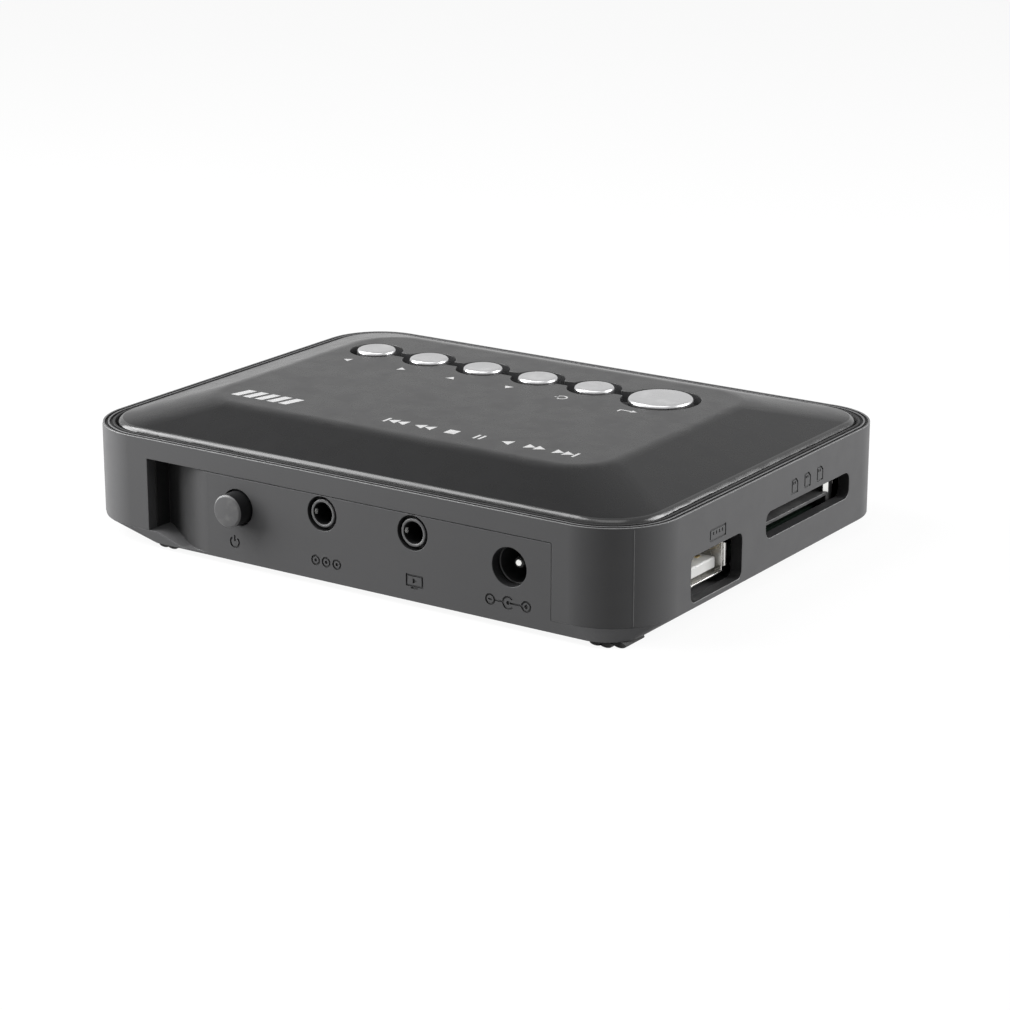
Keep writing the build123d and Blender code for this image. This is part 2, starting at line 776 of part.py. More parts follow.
# Audio and video jacks, each with a pair of contact blades beside the bore
blade_gap = jack_bore_radius + contact_gap
slot_gap = jack_bore_radius - contact_slot_cut
blade_rear_y = rear_y - contact_setback
for jack_name, jack_x in (("component", component_jack_x), ("av", av_jack_x)):
    with BuildPart() as jack_body:
        block(jack_x - jack_body_width / 2, jack_x + jack_body_width / 2,
              jack_back_y, panel_inner_y - socket_gap,
              board_top_z, jack_z + jack_body_above)
        with BuildSketch(rear_plane(jack_x, panel_inner_y - socket_gap, jack_z)):
            Circle(jack_barrel_radius)
        extrude(amount=panel_thickness + socket_gap - jack_barrel_setback)
        with BuildSketch(rear_plane(jack_x, rear_y - jack_barrel_setback, jack_z)):
            Circle(jack_bore_radius)
        extrude(amount=-jack_bore_depth, mode=Mode.SUBTRACT)
        for side in (-1, 1):
            inner_x = jack_x + side * slot_gap
            outer_x = inner_x + side * contact_slot_width
            block(min(inner_x, outer_x), max(inner_x, outer_x), blade_rear_y - contact_length - contact_play,
                  blade_rear_y + contact_play, board_top_z, jack_z + contact_above + contact_play,
                  mode=Mode.SUBTRACT)
    jack_body.part.label = f"{jack_name}_jack_body"
    export_step(jack_body.part, f"parts/{jack_name}_jack_body.step")

    with BuildPart() as jack_contacts:
        for side in (-1, 1):
            inner_x = jack_x + side * blade_gap
            outer_x = inner_x + side * contact_thickness
            block(min(inner_x, outer_x), max(inner_x, outer_x), blade_rear_y - contact_length, blade_rear_y,
                  board_top_z, jack_z + contact_above)
    jack_contacts.part.label = f"{jack_name}_jack_contacts"
    export_step(jack_contacts.part, f"parts/{jack_name}_jack_contacts.step")

# Power inlet
dc_front_y = rear_y - dc_setback
with BuildPart() as dc_jack_body:
    block(dc_x - dc_body_width / 2, dc_x + dc_body_width / 2, dc_front_y - dc_body_depth, dc_front_y,
          board_top_z, dc_z + dc_body_above)
    with BuildSketch(rear_plane(dc_x, dc_front_y, dc_z)):
        Circle(dc_bore_radius)
    extrude(amount=-dc_bore_depth, mode=Mode.SUBTRACT)
dc_jack_body.part.label = "dc_jack_body"
export_step(dc_jack_body.part, "parts/dc_jack_body.step")

with BuildPart() as dc_jack_pin:
    with BuildSketch(rear_plane(dc_x, dc_front_y - dc_bore_depth, dc_z)):
        Circle(dc_pin_radius)
    extrude(amount=dc_bore_depth - dc_pin_setback)
    fillet(dc_jack_pin.faces().sort_by(Axis.Y)[-1].edges(), dc_pin_blend)
dc_jack_pin.part.label = "dc_jack_pin"
export_step(dc_jack_pin.part, "parts/dc_jack_pin.step")

# USB socket
usb_front_x = left_x + usb_setback
usb_back_x = usb_front_x + usb_length
usb_block_x = usb_back_x - usb_block_length
tongue_z = usb_z - tongue_drop
usb_room_width = usb_width - usb_wall * 2
usb_room_height = usb_height - usb_wall * 2
with BuildPart() as usb_shell:
    block(usb_front_x, usb_back_x, usb_y - usb_width / 2, usb_y + usb_width / 2, usb_z - usb_height / 2,
          usb_z + usb_height / 2)
    block(usb_front_x, usb_back_x, usb_y - usb_room_width / 2, usb_y + usb_room_width / 2,
          usb_z - usb_room_height / 2, usb_z + usb_room_height / 2, mode=Mode.SUBTRACT)
    for side in (-1, 1):
        wing_inner_y = usb_y + side * usb_width / 2
        wing_outer_y = wing_inner_y + side * usb_wing_width
        block(usb_block_x, usb_block_x + usb_wing_length, min(wing_inner_y, wing_outer_y),
              max(wing_inner_y, wing_outer_y), board_top_z, board_top_z + usb_wing_thickness)
usb_shell.part.label = "usb_shell"
export_step(usb_shell.part, "parts/usb_shell.step")

with BuildPart() as usb_tongue:
    block(usb_block_x, usb_back_x, usb_y - usb_room_width / 2 + usb_block_gap,
          usb_y + usb_room_width / 2 - usb_block_gap, usb_z - usb_room_height / 2 + usb_block_gap,
          usb_z + usb_room_height / 2 - usb_block_gap)
    block(usb_block_x - tongue_length, usb_block_x, usb_y - tongue_width / 2, usb_y + tongue_width / 2,
          tongue_z - tongue_thickness / 2, tongue_z + tongue_thickness / 2)
usb_tongue.part.label = "usb_tongue"
export_step(usb_tongue.part, "parts/usb_tongue.step")

with BuildPart() as usb_contacts:
    with Locations((usb_block_x - usb_contact_length / 2, usb_y,
                    tongue_z + tongue_thickness / 2 + usb_contact_thickness / 2)):
        with GridLocations(usb_contact_length, usb_contact_pitch, 1, usb_contact_count):
            Box(usb_contact_length, usb_contact_width, usb_contact_thickness)
usb_contacts.part.label = "usb_contacts"
export_step(usb_contacts.part, "parts/usb_contacts.step")

# Memory card socket
card_front_x = left_x + card_setback
card_back_x = card_front_x + card_length
card_low_y = card_y - card_width / 2
card_high_y = card_y + card_width / 2
card_bed_z = card_z - card_room / 2
card_roof_z = card_z + card_room / 2
with BuildPart() as card_socket_base:
    block(card_front_x, card_back_x, card_low_y, card_high_y, card_bed_z - card_floor, card_roof_z)
    block(card_front_x, card_back_x - card_rail_width, card_low_y + card_rail_width,
          card_high_y - card_rail_width, card_bed_z, card_roof_z, mode=Mode.SUBTRACT)
    for leg_x in (card_front_x, card_back_x - card_leg):
        for leg_y in (card_low_y, card_high_y - card_leg):
            block(leg_x, leg_x + card_leg, leg_y, leg_y + card_leg, board_top_z, card_bed_z - card_floor)
card_socket_base.part.label = "card_socket_base"
export_step(card_socket_base.part, "parts/card_socket_base.step")

with BuildPart() as card_socket_cover:
    block(card_front_x, card_back_x, card_low_y - card_cover_thickness, card_high_y + card_cover_thickness,
          card_roof_z, card_roof_z + card_cover_thickness)
    block(card_front_x, card_back_x, card_low_y - card_cover_thickness, card_low_y,
          card_roof_z - card_flap, card_roof_z)
    block(card_front_x, card_back_x, card_high_y, card_high_y + card_cover_thickness,
          card_roof_z - card_flap, card_roof_z)
card_socket_cover.part.label = "card_socket_cover"
export_step(card_socket_cover.part, "parts/card_socket_cover.step")

with BuildPart() as card_contacts:
    with Locations((card_back_x - card_rail_width - card_contact_setback - card_contact_length / 2, card_y,
                    card_bed_z + card_contact_thickness / 2)):
        with GridLocations(card_contact_length, card_contact_pitch, 1, card_contact_count):
            Box(card_contact_length, card_contact_width, card_contact_thickness)
card_contacts.part.label = "card_contacts"
export_step(card_contacts.part, "parts/card_contacts.step")

# Window, receiver and lamp at the front
window_back_y = front_y + rim_width
sensor_y = window_back_y + ir_flange_thickness + sensor_gap
with BuildPart() as ir_window:
    block(ir_x - ir_width / 2 + ir_fit, ir_x + ir_width / 2 - ir_fit, front_y, window_back_y,
          ir_z - ir_height / 2 + ir_fit, ir_z + ir_height / 2 - ir_fit)
    block(ir_x - ir_width / 2 - ir_flange, ir_x + ir_width / 2 + ir_flange,
          window_back_y, window_back_y + ir_flange_thickness,
          ir_z - ir_height / 2 - ir_flange, ir_z + ir_height / 2 + ir_flange)
ir_window.part.label = "ir_window"
export_step(ir_window.part, "parts/ir_window.step")

with BuildPart() as ir_receiver:
    block(receiver_x - receiver_width / 2, receiver_x + receiver_width / 2, sensor_y + receiver_dome,
          sensor_y + receiver_dome + receiver_depth, board_top_z, ir_z + receiver_above)
    with Locations((receiver_x, sensor_y + receiver_dome, ir_z)):
        Sphere(receiver_dome)
ir_receiver.part.label = "ir_receiver"
export_step(ir_receiver.part, "parts/ir_receiver.step")

with BuildPart() as status_led:
    with BuildSketch(rear_plane(led_x, sensor_y + led_length, ir_z)):
        Circle(led_radius)
    extrude(amount=led_radius - led_length)
    with Locations((led_x, sensor_y + led_radius, ir_z)):
        Sphere(led_radius)
    block(led_x - led_base / 2, led_x + led_base / 2, sensor_y + led_length,
          sensor_y + led_length + led_base_depth, board_top_z, ir_z + led_base / 2)
status_led.part.label = "status_led"
export_step(status_led.part, "parts/status_led.step")

# Chips and passive parts on the main board
for chip_name, chip_at, chip_size in (
    ("processor", processor_at, (processor_size, processor_size, processor_height)),
    ("memory_chip", memory_at, memory_size),
    ("flash_chip", flash_at, flash_size),
):
    with BuildPart() as chip:
        with Locations((*chip_at, board_top_z + chip_size[2] / 2)):
            Box(*chip_size)
        chamfer(chip.faces().sort_by(Axis.Z)[-1].edges(), chip_blend)
    chip.part.label = chip_name
    export_step(chip.part, f"parts/{chip_name}.step")

sink_z = board_top_z + processor_height
with BuildPart() as heat_sink:
    with Locations((*processor_at, sink_z + sink_base / 2)):
        Box(sink_size, sink_size, sink_base)
    with Locations((*processor_at, sink_z + sink_base + sink_fin_height / 2)):
        with GridLocations(sink_fin_pitch, sink_size, sink_fin_count, 1):
            Box(sink_fin_width, sink_size, sink_fin_height)
heat_sink.part.label = "heat_sink"
export_step(heat_sink.part, "parts/heat_sink.step")

with BuildPart() as crystal:
    with BuildSketch(Plane.XY.offset(board_top_z)):
        with Locations(crystal_at):
            SlotOverall(crystal_size[0], crystal_size[1])
    extrude(amount=crystal_size[2])
crystal.part.label = "crystal"
export_step(crystal.part, "parts/crystal.step")

for capacitor_name, capacitor_at, can_radius, can_height in (
    ("inlet", inlet_capacitor_at, inlet_capacitor_radius, inlet_capacitor_height),
    ("core", core_capacitor_at, core_capacitor_radius, core_capacitor_height),
):
    with BuildPart() as capacitor:
        foot_side = (can_radius + capacitor_foot_margin) * 2
        with Locations((*capacitor_at, board_top_z + capacitor_foot_height / 2)):
            Box(foot_side, foot_side, capacitor_foot_height)
        with BuildSketch(Plane.XY.offset(board_top_z + capacitor_foot_height)):
            with Locations(capacitor_at):
                Circle(can_radius)
        extrude(amount=can_height - capacitor_foot_height)
        fillet(capacitor.faces().sort_by(Axis.Z)[-1].edges(), key_blend)
    capacitor.part.label = f"capacitor_{capacitor_name}"
    export_step(capacitor.part, f"parts/capacitor_{capacitor_name}.step")

with BuildPart() as power_inductor:
    with BuildSketch(Plane.XY.offset(board_top_z)):
        with Locations(inductor_at):
            RectangleRounded(inductor_size[0], inductor_size[1], inductor_radius)
    extrude(amount=inductor_size[2])
power_inductor.part.label = "power_inductor"
export_step(power_inductor.part, "parts/power_inductor.step")

with BuildPart() as voltage_regulator:
    with Locations((*regulator_at, board_top_z + regulator_size[2] / 2)):
        Box(*regulator_size)
    with Locations((regulator_at[0], regulator_at[1] + (regulator_size[1] + regulator_tab[1]) / 2,
                    board_top_z + regulator_tab[2] / 2)):
        Box(*regulator_tab)
voltage_regulator.part.label = "voltage_regulator"
export_step(voltage_regulator.part, "parts/voltage_regulator.step")
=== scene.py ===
"""Looks of a pocket media player: satin case, hipped key cover, silver keys, rear ports and side sockets."""
import logging
import math
from collections.abc import Callable, Sequence
from dataclasses import dataclass, field
from enum import Enum
from functools import partial

import bmesh
import bpy
from mathutils import Matrix, Vector


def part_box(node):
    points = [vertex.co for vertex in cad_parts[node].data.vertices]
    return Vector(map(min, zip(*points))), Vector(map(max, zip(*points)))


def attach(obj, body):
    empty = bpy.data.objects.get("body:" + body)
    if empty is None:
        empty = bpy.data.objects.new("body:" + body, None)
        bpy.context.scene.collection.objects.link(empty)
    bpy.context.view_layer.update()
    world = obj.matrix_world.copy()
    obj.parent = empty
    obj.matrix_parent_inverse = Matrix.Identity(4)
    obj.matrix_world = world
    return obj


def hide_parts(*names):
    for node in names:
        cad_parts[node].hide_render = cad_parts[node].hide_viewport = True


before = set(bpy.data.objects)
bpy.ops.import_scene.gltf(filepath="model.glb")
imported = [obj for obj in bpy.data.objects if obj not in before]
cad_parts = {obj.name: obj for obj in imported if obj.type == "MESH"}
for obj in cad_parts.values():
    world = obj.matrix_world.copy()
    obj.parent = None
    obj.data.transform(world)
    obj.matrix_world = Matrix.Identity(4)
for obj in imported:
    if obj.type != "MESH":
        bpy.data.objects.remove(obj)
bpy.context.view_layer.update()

MM = 0.001
CHASSIS = "chassis"
# Mouldings: distance at which points merge, and the angles that are flat, an edge, and shaded smooth.
MERGE_MM = 0.002
FLAT_DEGREES = 0.3
EDGE_DEGREES = 38
SMOOTH_DEGREES = 32
# Finishes: levels of noise between which rubs and smears fade in, and their sizes as shares of a patch.
RUB_FADE = (0.62, 0.78)
RUB_SIZE = 0.2
SMEAR_FADE = (0.3, 0.7)
SMEAR_SIZE = 0.3
# Zones: share of the normal along an axis below which a face runs along it, and slack at the limits.
UPRIGHT = 0.3
SLACK_MM = 0.1
# Marks: width of their lines, and the limit on the reach of sharp corners.
MARK_LINE = 0.3
SHARPEST_MITRE = 0.4
LOG = logging.getLogger("media_player")

Colour = tuple[float, float, float]
Point2 = tuple[float, float]
Inputs = dict[str | int, object]
Socket = bpy.types.NodeSocket
Mesh = bpy.types.Mesh
Thing = bpy.types.Object


class Grain(Enum):
    """Fine relief of a surface, as the stretch of its noise along X, Y and Z."""

    SPARK = (1.0, 1.0, 1.0)
    BRUSHED_X = (0.05, 1.0, 1.0)
    BRUSHED_Y = (1.0, 0.05, 1.0)


class Facing(Enum):
    """Faces that carry marks, as right, up and outward directions seen by someone in front of them."""

    REAR = ((-1, 0, 0), (0, 0, 1), (0, 1, 0))
    LEFT = ((0, -1, 0), (0, 0, 1), (-1, 0, 0))
    DECK = ((1, 0, 0), (0, 1, 0), (0, 0, 1))

    def place(self, origin: Sequence[float]) -> Matrix:
        """Matrix from mark coordinates in millimetres to the object's frame in metres.

        Args:
            origin: Point of the face that the mark is centred on, in millimetres.

        Returns:
            The placing matrix, with the scale from millimetres in it.
        """
        turn = Matrix([Vector(axis) for axis in self.value]).transposed().to_4x4()
        return Matrix.Scale(MM, 4) @ Matrix.Translation(Vector(origin)) @ turn


class NodeSheet:
    """Adds nodes to a tree and wires them by input name or index."""

    def __init__(self, tree: bpy.types.NodeTree) -> None:
        """Starts on an existing tree."""
        self.tree = tree

    @classmethod
    def blank(cls, owner: bpy.types.Material | bpy.types.World) -> "NodeSheet":
        """Clears the shader tree of a material or world and starts on it.

        Args:
            owner: Material or world.

        Returns:
            The sheet on the empty tree.
        """
        owner.use_nodes = True
        owner.node_tree.nodes.clear()
        return cls(owner.node_tree)

    def add(self, kind: str, inputs: Inputs | None = None, **settings: object) -> bpy.types.Node:
        """Adds one node.

        Args:
            kind: Node type.
            inputs: Values or source sockets by input name or index.
            settings: Properties of the node itself.

        Returns:
            The new node.
        """
        node = self.tree.nodes.new(kind)
        for key, value in settings.items():
            setattr(node, key, value)
        for key, value in (inputs or {}).items():
            self.wire(node.inputs[key], value)
        return node

    def out(self, kind: str, inputs: Inputs | None = None, **settings: object) -> Socket:
        """Adds one node and returns its first output."""
        return self.add(kind, inputs, **settings).outputs[0]

    def wire(self, socket: Socket, value: object) -> None:
        """Links a socket to its source, or sets its plain value.

        Args:
            socket: Input socket.
            value: Source socket or plain value.
        """
        if isinstance(value, Socket):
            self.tree.links.new(value, socket)
        else:
            socket.default_value = value


@dataclass(frozen=True)
class Finish:
    """Surface finish, built as a procedural material on object coordinates.

    Attributes:
        name: Name of the material.
        slot: Material slot of the record that it belongs to; not used.
        colour: Linear base colour.
        roughness: Mean roughness.
        metallic: 0 for plastic and paint, 1 for bare metal.
        grain: Kind of fine relief.
        grain_mm: Width of one grain.
        relief_mm: Height of the grain.
        mottle: Share by which the colour drifts from patch to patch.
        drift: Amount by which the roughness drifts in smears.
        patch_mm: Size of a patch.
        fleck: Share by which single flakes differ in brightness.
        rub: Colour that shows where handling has rubbed the surface.
        rub_share: Part of the surface that is rubbed.
        specular: Level of the plain reflection, 0.5 for common plastic.
        coat: Weight of a clear coat.
        see_through: Transmission weight of a tinted clear plastic.
        fade: Painted shade: X in millimetres where the colour starts to darken and where that ends, and the
            share left.
    """

    name: str
    slot: str
    colour: Colour
    roughness: float = 0.5
    metallic: float = 0.0
    grain: Grain = Grain.SPARK
    grain_mm: float = 0.16
    relief_mm: float = 0.004
    mottle: float = 0.05
    drift: float = 0.05
    patch_mm: float = 12.0
    fleck: float = 0.0
    rub: Colour = (0.2, 0.2, 0.2)
    rub_share: float = 0.0
    specular: float = 0.5
    coat: float = 0.0
    see_through: float = 0.0
    fade: tuple[float, float, float] | None = None

    def material(self) -> bpy.types.Material:
        """Builds the material, or returns the one already built.

        Returns:
            The material.
        """
        known = bpy.data.materials.get(self.name)
        if known:
            return known
        made = bpy.data.materials.new(self.name)
        sheet = NodeSheet.blank(made)
        where = sheet.add("ShaderNodeTexCoord").outputs["Object"]
        grain = self._noise(sheet, self._stretched(sheet, where), self.grain_mm, 2.0)
        shader = sheet.out("ShaderNodeBsdfPrincipled", {
            "Base Color": self._tone(sheet, where),
            "Metallic": self.metallic,
            "Roughness": self._gloss(sheet, where),
            "Specular IOR Level": self.specular,
            "Coat Weight": self.coat,
            "Transmission Weight": self.see_through,
            "Normal": sheet.out("ShaderNodeBump", {
                "Strength": 1.0, "Distance": self.relief_mm * MM, "Height": grain}),
        })
        sheet.add("ShaderNodeOutputMaterial", {"Surface": shader})
        made.diffuse_color = (*self.colour, 1.0)
        return made

    def _stretched(self, sheet: NodeSheet, where: Socket) -> Socket:
        """Coordinates stretched along the grain."""
        return sheet.out("ShaderNodeMapping", {"Vector": where, "Scale": self.grain.value})

    @staticmethod
    def _noise(sheet: NodeSheet, where: Socket, size_mm: float, detail: float) -> Socket:
        """Noise with features of one size, from 0 to 1."""
        return sheet.out("ShaderNodeTexNoise", {
            "Vector": where, "Scale": 1.0 / (size_mm * MM), "Detail": detail})

    def _tone(self, sheet: NodeSheet, where: Socket) -> Socket:
        """Colour with its patches, flakes, rubbed places and the painted shade of a fade along X.

        Args:
            sheet: Tree to add to.
            where: Object coordinates.

        Returns:
            Colour socket.
        """
        low, high = (tuple(min(1.0, c * (1 + s * self.mottle)) for c in self.colour) for s in (-1, 1))
        tone = sheet.add("ShaderNodeMix", {
            0: self._noise(sheet, where, self.patch_mm, 3.0), 6: (*low, 1.0), 7: (*high, 1.0)},
            data_type="RGBA").outputs[2]
        if self.fleck:
            cell = sheet.add("ShaderNodeTexVoronoi", {"Vector": where, "Scale": 1.0 / (self.grain_mm * MM)})
            light = sheet.out("ShaderNodeMapRange", {
                0: cell.outputs["Color"], 3: 1.0 - self.fleck, 4: 1.0 + self.fleck})
            tone = self._times(sheet, tone, light)
        if self.rub_share:
            spread = sheet.out("ShaderNodeMapRange", {
                0: self._noise(sheet, where, self.patch_mm * RUB_SIZE, 4.0),
                **{1 + i: level - self.rub_share * 0.5 for i, level in enumerate(RUB_FADE)}})
            tone = sheet.add("ShaderNodeMix", {0: spread, 6: tone, 7: (*self.rub, 1.0)},
                             data_type="RGBA").outputs[2]
        # Painted shade: the colour darkens along X.
        if self.fade:
            start, stop, share = self.fade
            across = sheet.out("ShaderNodeSeparateXYZ", {0: where})
            left = sheet.out("ShaderNodeMapRange", {
                0: across, 1: start * MM, 2: stop * MM, 3: 1.0, 4: share}, interpolation_type="SMOOTHSTEP")
            tone = self._times(sheet, tone, left)
        return tone

    @staticmethod
    def _times(sheet: NodeSheet, tone: Socket, share: Socket) -> Socket:
        """Colour multiplied by a share."""
        return sheet.add("ShaderNodeMix", {0: 1.0, 6: tone, 7: share}, data_type="RGBA",
                         blend_type="MULTIPLY").outputs[2]

    def _gloss(self, sheet: NodeSheet, where: Socket) -> Socket:
        """Roughness that drifts in smears."""
        smear = self._noise(sheet, where, self.patch_mm * SMEAR_SIZE, 3.0)
        return sheet.out("ShaderNodeMapRange", {
            0: smear, 1: SMEAR_FADE[0], 2: SMEAR_FADE[1], 3: max(0.02, self.roughness - self.drift),
            4: min(1.0, self.roughness + self.drift)})


CASE = Finish("case_satin", "housing_plastic", (0.1, 0.1, 0.102), 0.5, grain_mm=0.22, relief_mm=0.006,
              specular=0.25)
# Lighter softened edges of the walls: partly rubbed wear, partly a painted highlight along the edges.
CASE_EDGE_WEAR_AND_HIGHLIGHT = Finish("case_edge_wear_and_painted_highlight", "housing_plastic", (0.12, 0.12, 0.122), 0.4, rub=(0.17, 0.17, 0.172),
                   rub_share=0.5, relief_mm=0.002, specular=0.4)
# Painted shade: near-black grooves, inner land and gap walls of the stepped rim.
RIM_SHADE = Finish("rim_step_painted_shade", "housing_plastic", (0.014, 0.014, 0.0145), 0.6, grain_mm=0.2, specular=0.2)
LAND = Finish("rim_land", "housing_plastic", (0.1, 0.1, 0.102), 0.5, grain_mm=0.2, specular=0.25)
# Painted shade: near-black reveals of the windows in the left wall.
REVEAL_SHADE = Finish("window_reveal_painted_shade", "housing_plastic", (0.022, 0.022, 0.023), 0.6, grain_mm=0.2,
                specular=0.2)
TRAY = Finish("tray_satin", "tray_plastic", (0.096, 0.096, 0.098), 0.52, grain_mm=0.22, relief_mm=0.006,
              specular=0.25)
# Painted shade: the finger scoop darkens towards its deep end.
SCOOP_SHADE = Finish("grip_hollow_painted_shade", "tray_plastic", (0.096, 0.096, 0.098), 0.52, grain_mm=0.22,
               relief_mm=0.006, specular=0.2, fade=(26.0, 30.5, 0.36))
# Painted shade: near-black walls of the holes in the rear panel.
HOLE_SHADE = Finish("hole_wall_painted_shade", "tray_plastic", (0.02, 0.02, 0.021), 0.6, grain_mm=0.2, specular=0.2)
# Painted shade: the tray's softened edges are darker than the tray, so the seam under the walls reads as a
# dark line.
TRAY_EDGE_SHADE = Finish("tray_edge_painted_shade", "tray_plastic", (0.06, 0.06, 0.062), 0.46, relief_mm=0.002,
                   specular=0.25)
COVER = Finish("cover_paint", "cover_plastic", (0.005, 0.005, 0.0054), 0.28, grain_mm=0.12,
               relief_mm=0.002, mottle=0.1, drift=0.03, specular=0.14)
COVER_EDGE = Finish("cover_edge", "cover_plastic", (0.012, 0.012, 0.0125), 0.3, rub=(0.03, 0.03, 0.03),
                    rub_share=0.3, specular=0.3)
LIP = Finish("cover_lip", "cover_plastic", (0.006, 0.006, 0.0064), 0.22, grain_mm=0.12, relief_mm=0.001,
             specular=0.5)
RECESS = Finish("recess_matt", "cover_plastic", (0.032, 0.032, 0.033), 0.55, grain_mm=0.2, specular=0.2)
RUBBER = Finish("foot_matt", "foot_rubber", (0.06, 0.06, 0.06), 0.8, grain_mm=0.3, relief_mm=0.012,
                mottle=0.2, specular=0.3)
SILVER = Finish("key_paint", "key_silver", (0.44, 0.44, 0.445), 0.3, metallic=1.0, grain_mm=0.14,
                relief_mm=0.002, fleck=0.05, rub=(0.5, 0.5, 0.505), rub_share=0.2)
BUTTON = Finish("button_satin", "button_plastic", (0.1, 0.1, 0.102), 0.4, grain_mm=0.2,
                rub=(0.14, 0.14, 0.14), rub_share=0.25)
# Painted shade: near-black side of the power button cap.
BUTTON_SIDE_SHADE = Finish("button_side_painted_shade", "button_plastic", (0.012, 0.012, 0.0125), 0.4, grain_mm=0.2,
                     specular=0.2)
PRINT = Finish("deck_print", "cover_plastic", (0.45, 0.45, 0.45), 0.6, grain_mm=0.1,
               rub=(0.38, 0.38, 0.38), rub_share=0.2)
SCREW = Finish("screw_zinc", "screw_steel", (0.56, 0.56, 0.58), 0.3, metallic=1.0, rub=(0.42, 0.4, 0.36),
               rub_share=0.25)
LAMINATE = Finish("board_mask", "board_laminate", (0.006, 0.014, 0.009), 0.4, grain_mm=0.6,
                  relief_mm=0.01, mottle=0.25, patch_mm=2.5, coat=0.3)
EPOXY = Finish("chip_moulding", "chip_epoxy", (0.025, 0.025, 0.026), 0.55, grain_mm=0.1, relief_mm=0.006)
SINK = Finish("sink_extrusion", "sink_aluminium", (0.72, 0.72, 0.73), 0.36, metallic=1.0,
              grain=Grain.BRUSHED_Y)
STEEL = Finish("socket_nickel", "socket_steel", (0.72, 0.71, 0.69), 0.26, metallic=1.0,
               grain=Grain.BRUSHED_X, rub=(0.6, 0.59, 0.56), rub_share=0.25)
SOCKET = Finish("socket_black", "socket_plastic", (0.022, 0.022, 0.023), 0.5)
BED = Finish("socket_bed", "socket_plastic", (0.075, 0.075, 0.076), 0.5, rub=(0.12, 0.12, 0.12),
             rub_share=0.3)
BARREL = Finish("jack_grey", "socket_plastic", (0.115, 0.115, 0.118), 0.45, rub=(0.15, 0.15, 0.15),
                rub_share=0.3)
# Painted shade: black bores of the jacks.
BORE_SHADE = Finish("bore_painted_shade", "socket_plastic", (0.008, 0.008, 0.0084), 0.6, specular=0.15)
TONGUE = Finish("tongue_white", "tongue_plastic", (0.84, 0.84, 0.82), 0.45, mottle=0.03)
BRASS = Finish("contact_gilt", "contact_brass", (0.83, 0.66, 0.36), 0.24, metallic=1.0,
               grain=Grain.BRUSHED_X)
BRIGHT = Finish("contact_tin", "contact_brass", (0.82, 0.82, 0.8), 0.2, metallic=1.0,
                grain=Grain.BRUSHED_Y)
PLUNGER = Finish("plunger_black", "plunger_plastic", (0.04, 0.04, 0.04), 0.45)
WINDOW = Finish("window_tint", "window_plastic", (0.022, 0.008, 0.011), 0.12, relief_mm=0.0008,
                drift=0.03, coat=0.4)
RECEIVER = Finish("receiver_epoxy", "receiver_plastic", (0.025, 0.025, 0.03), 0.2)
LAMP = Finish("lamp_clear", "lamp_plastic", (0.8, 0.84, 0.88), 0.12, see_through=0.7)


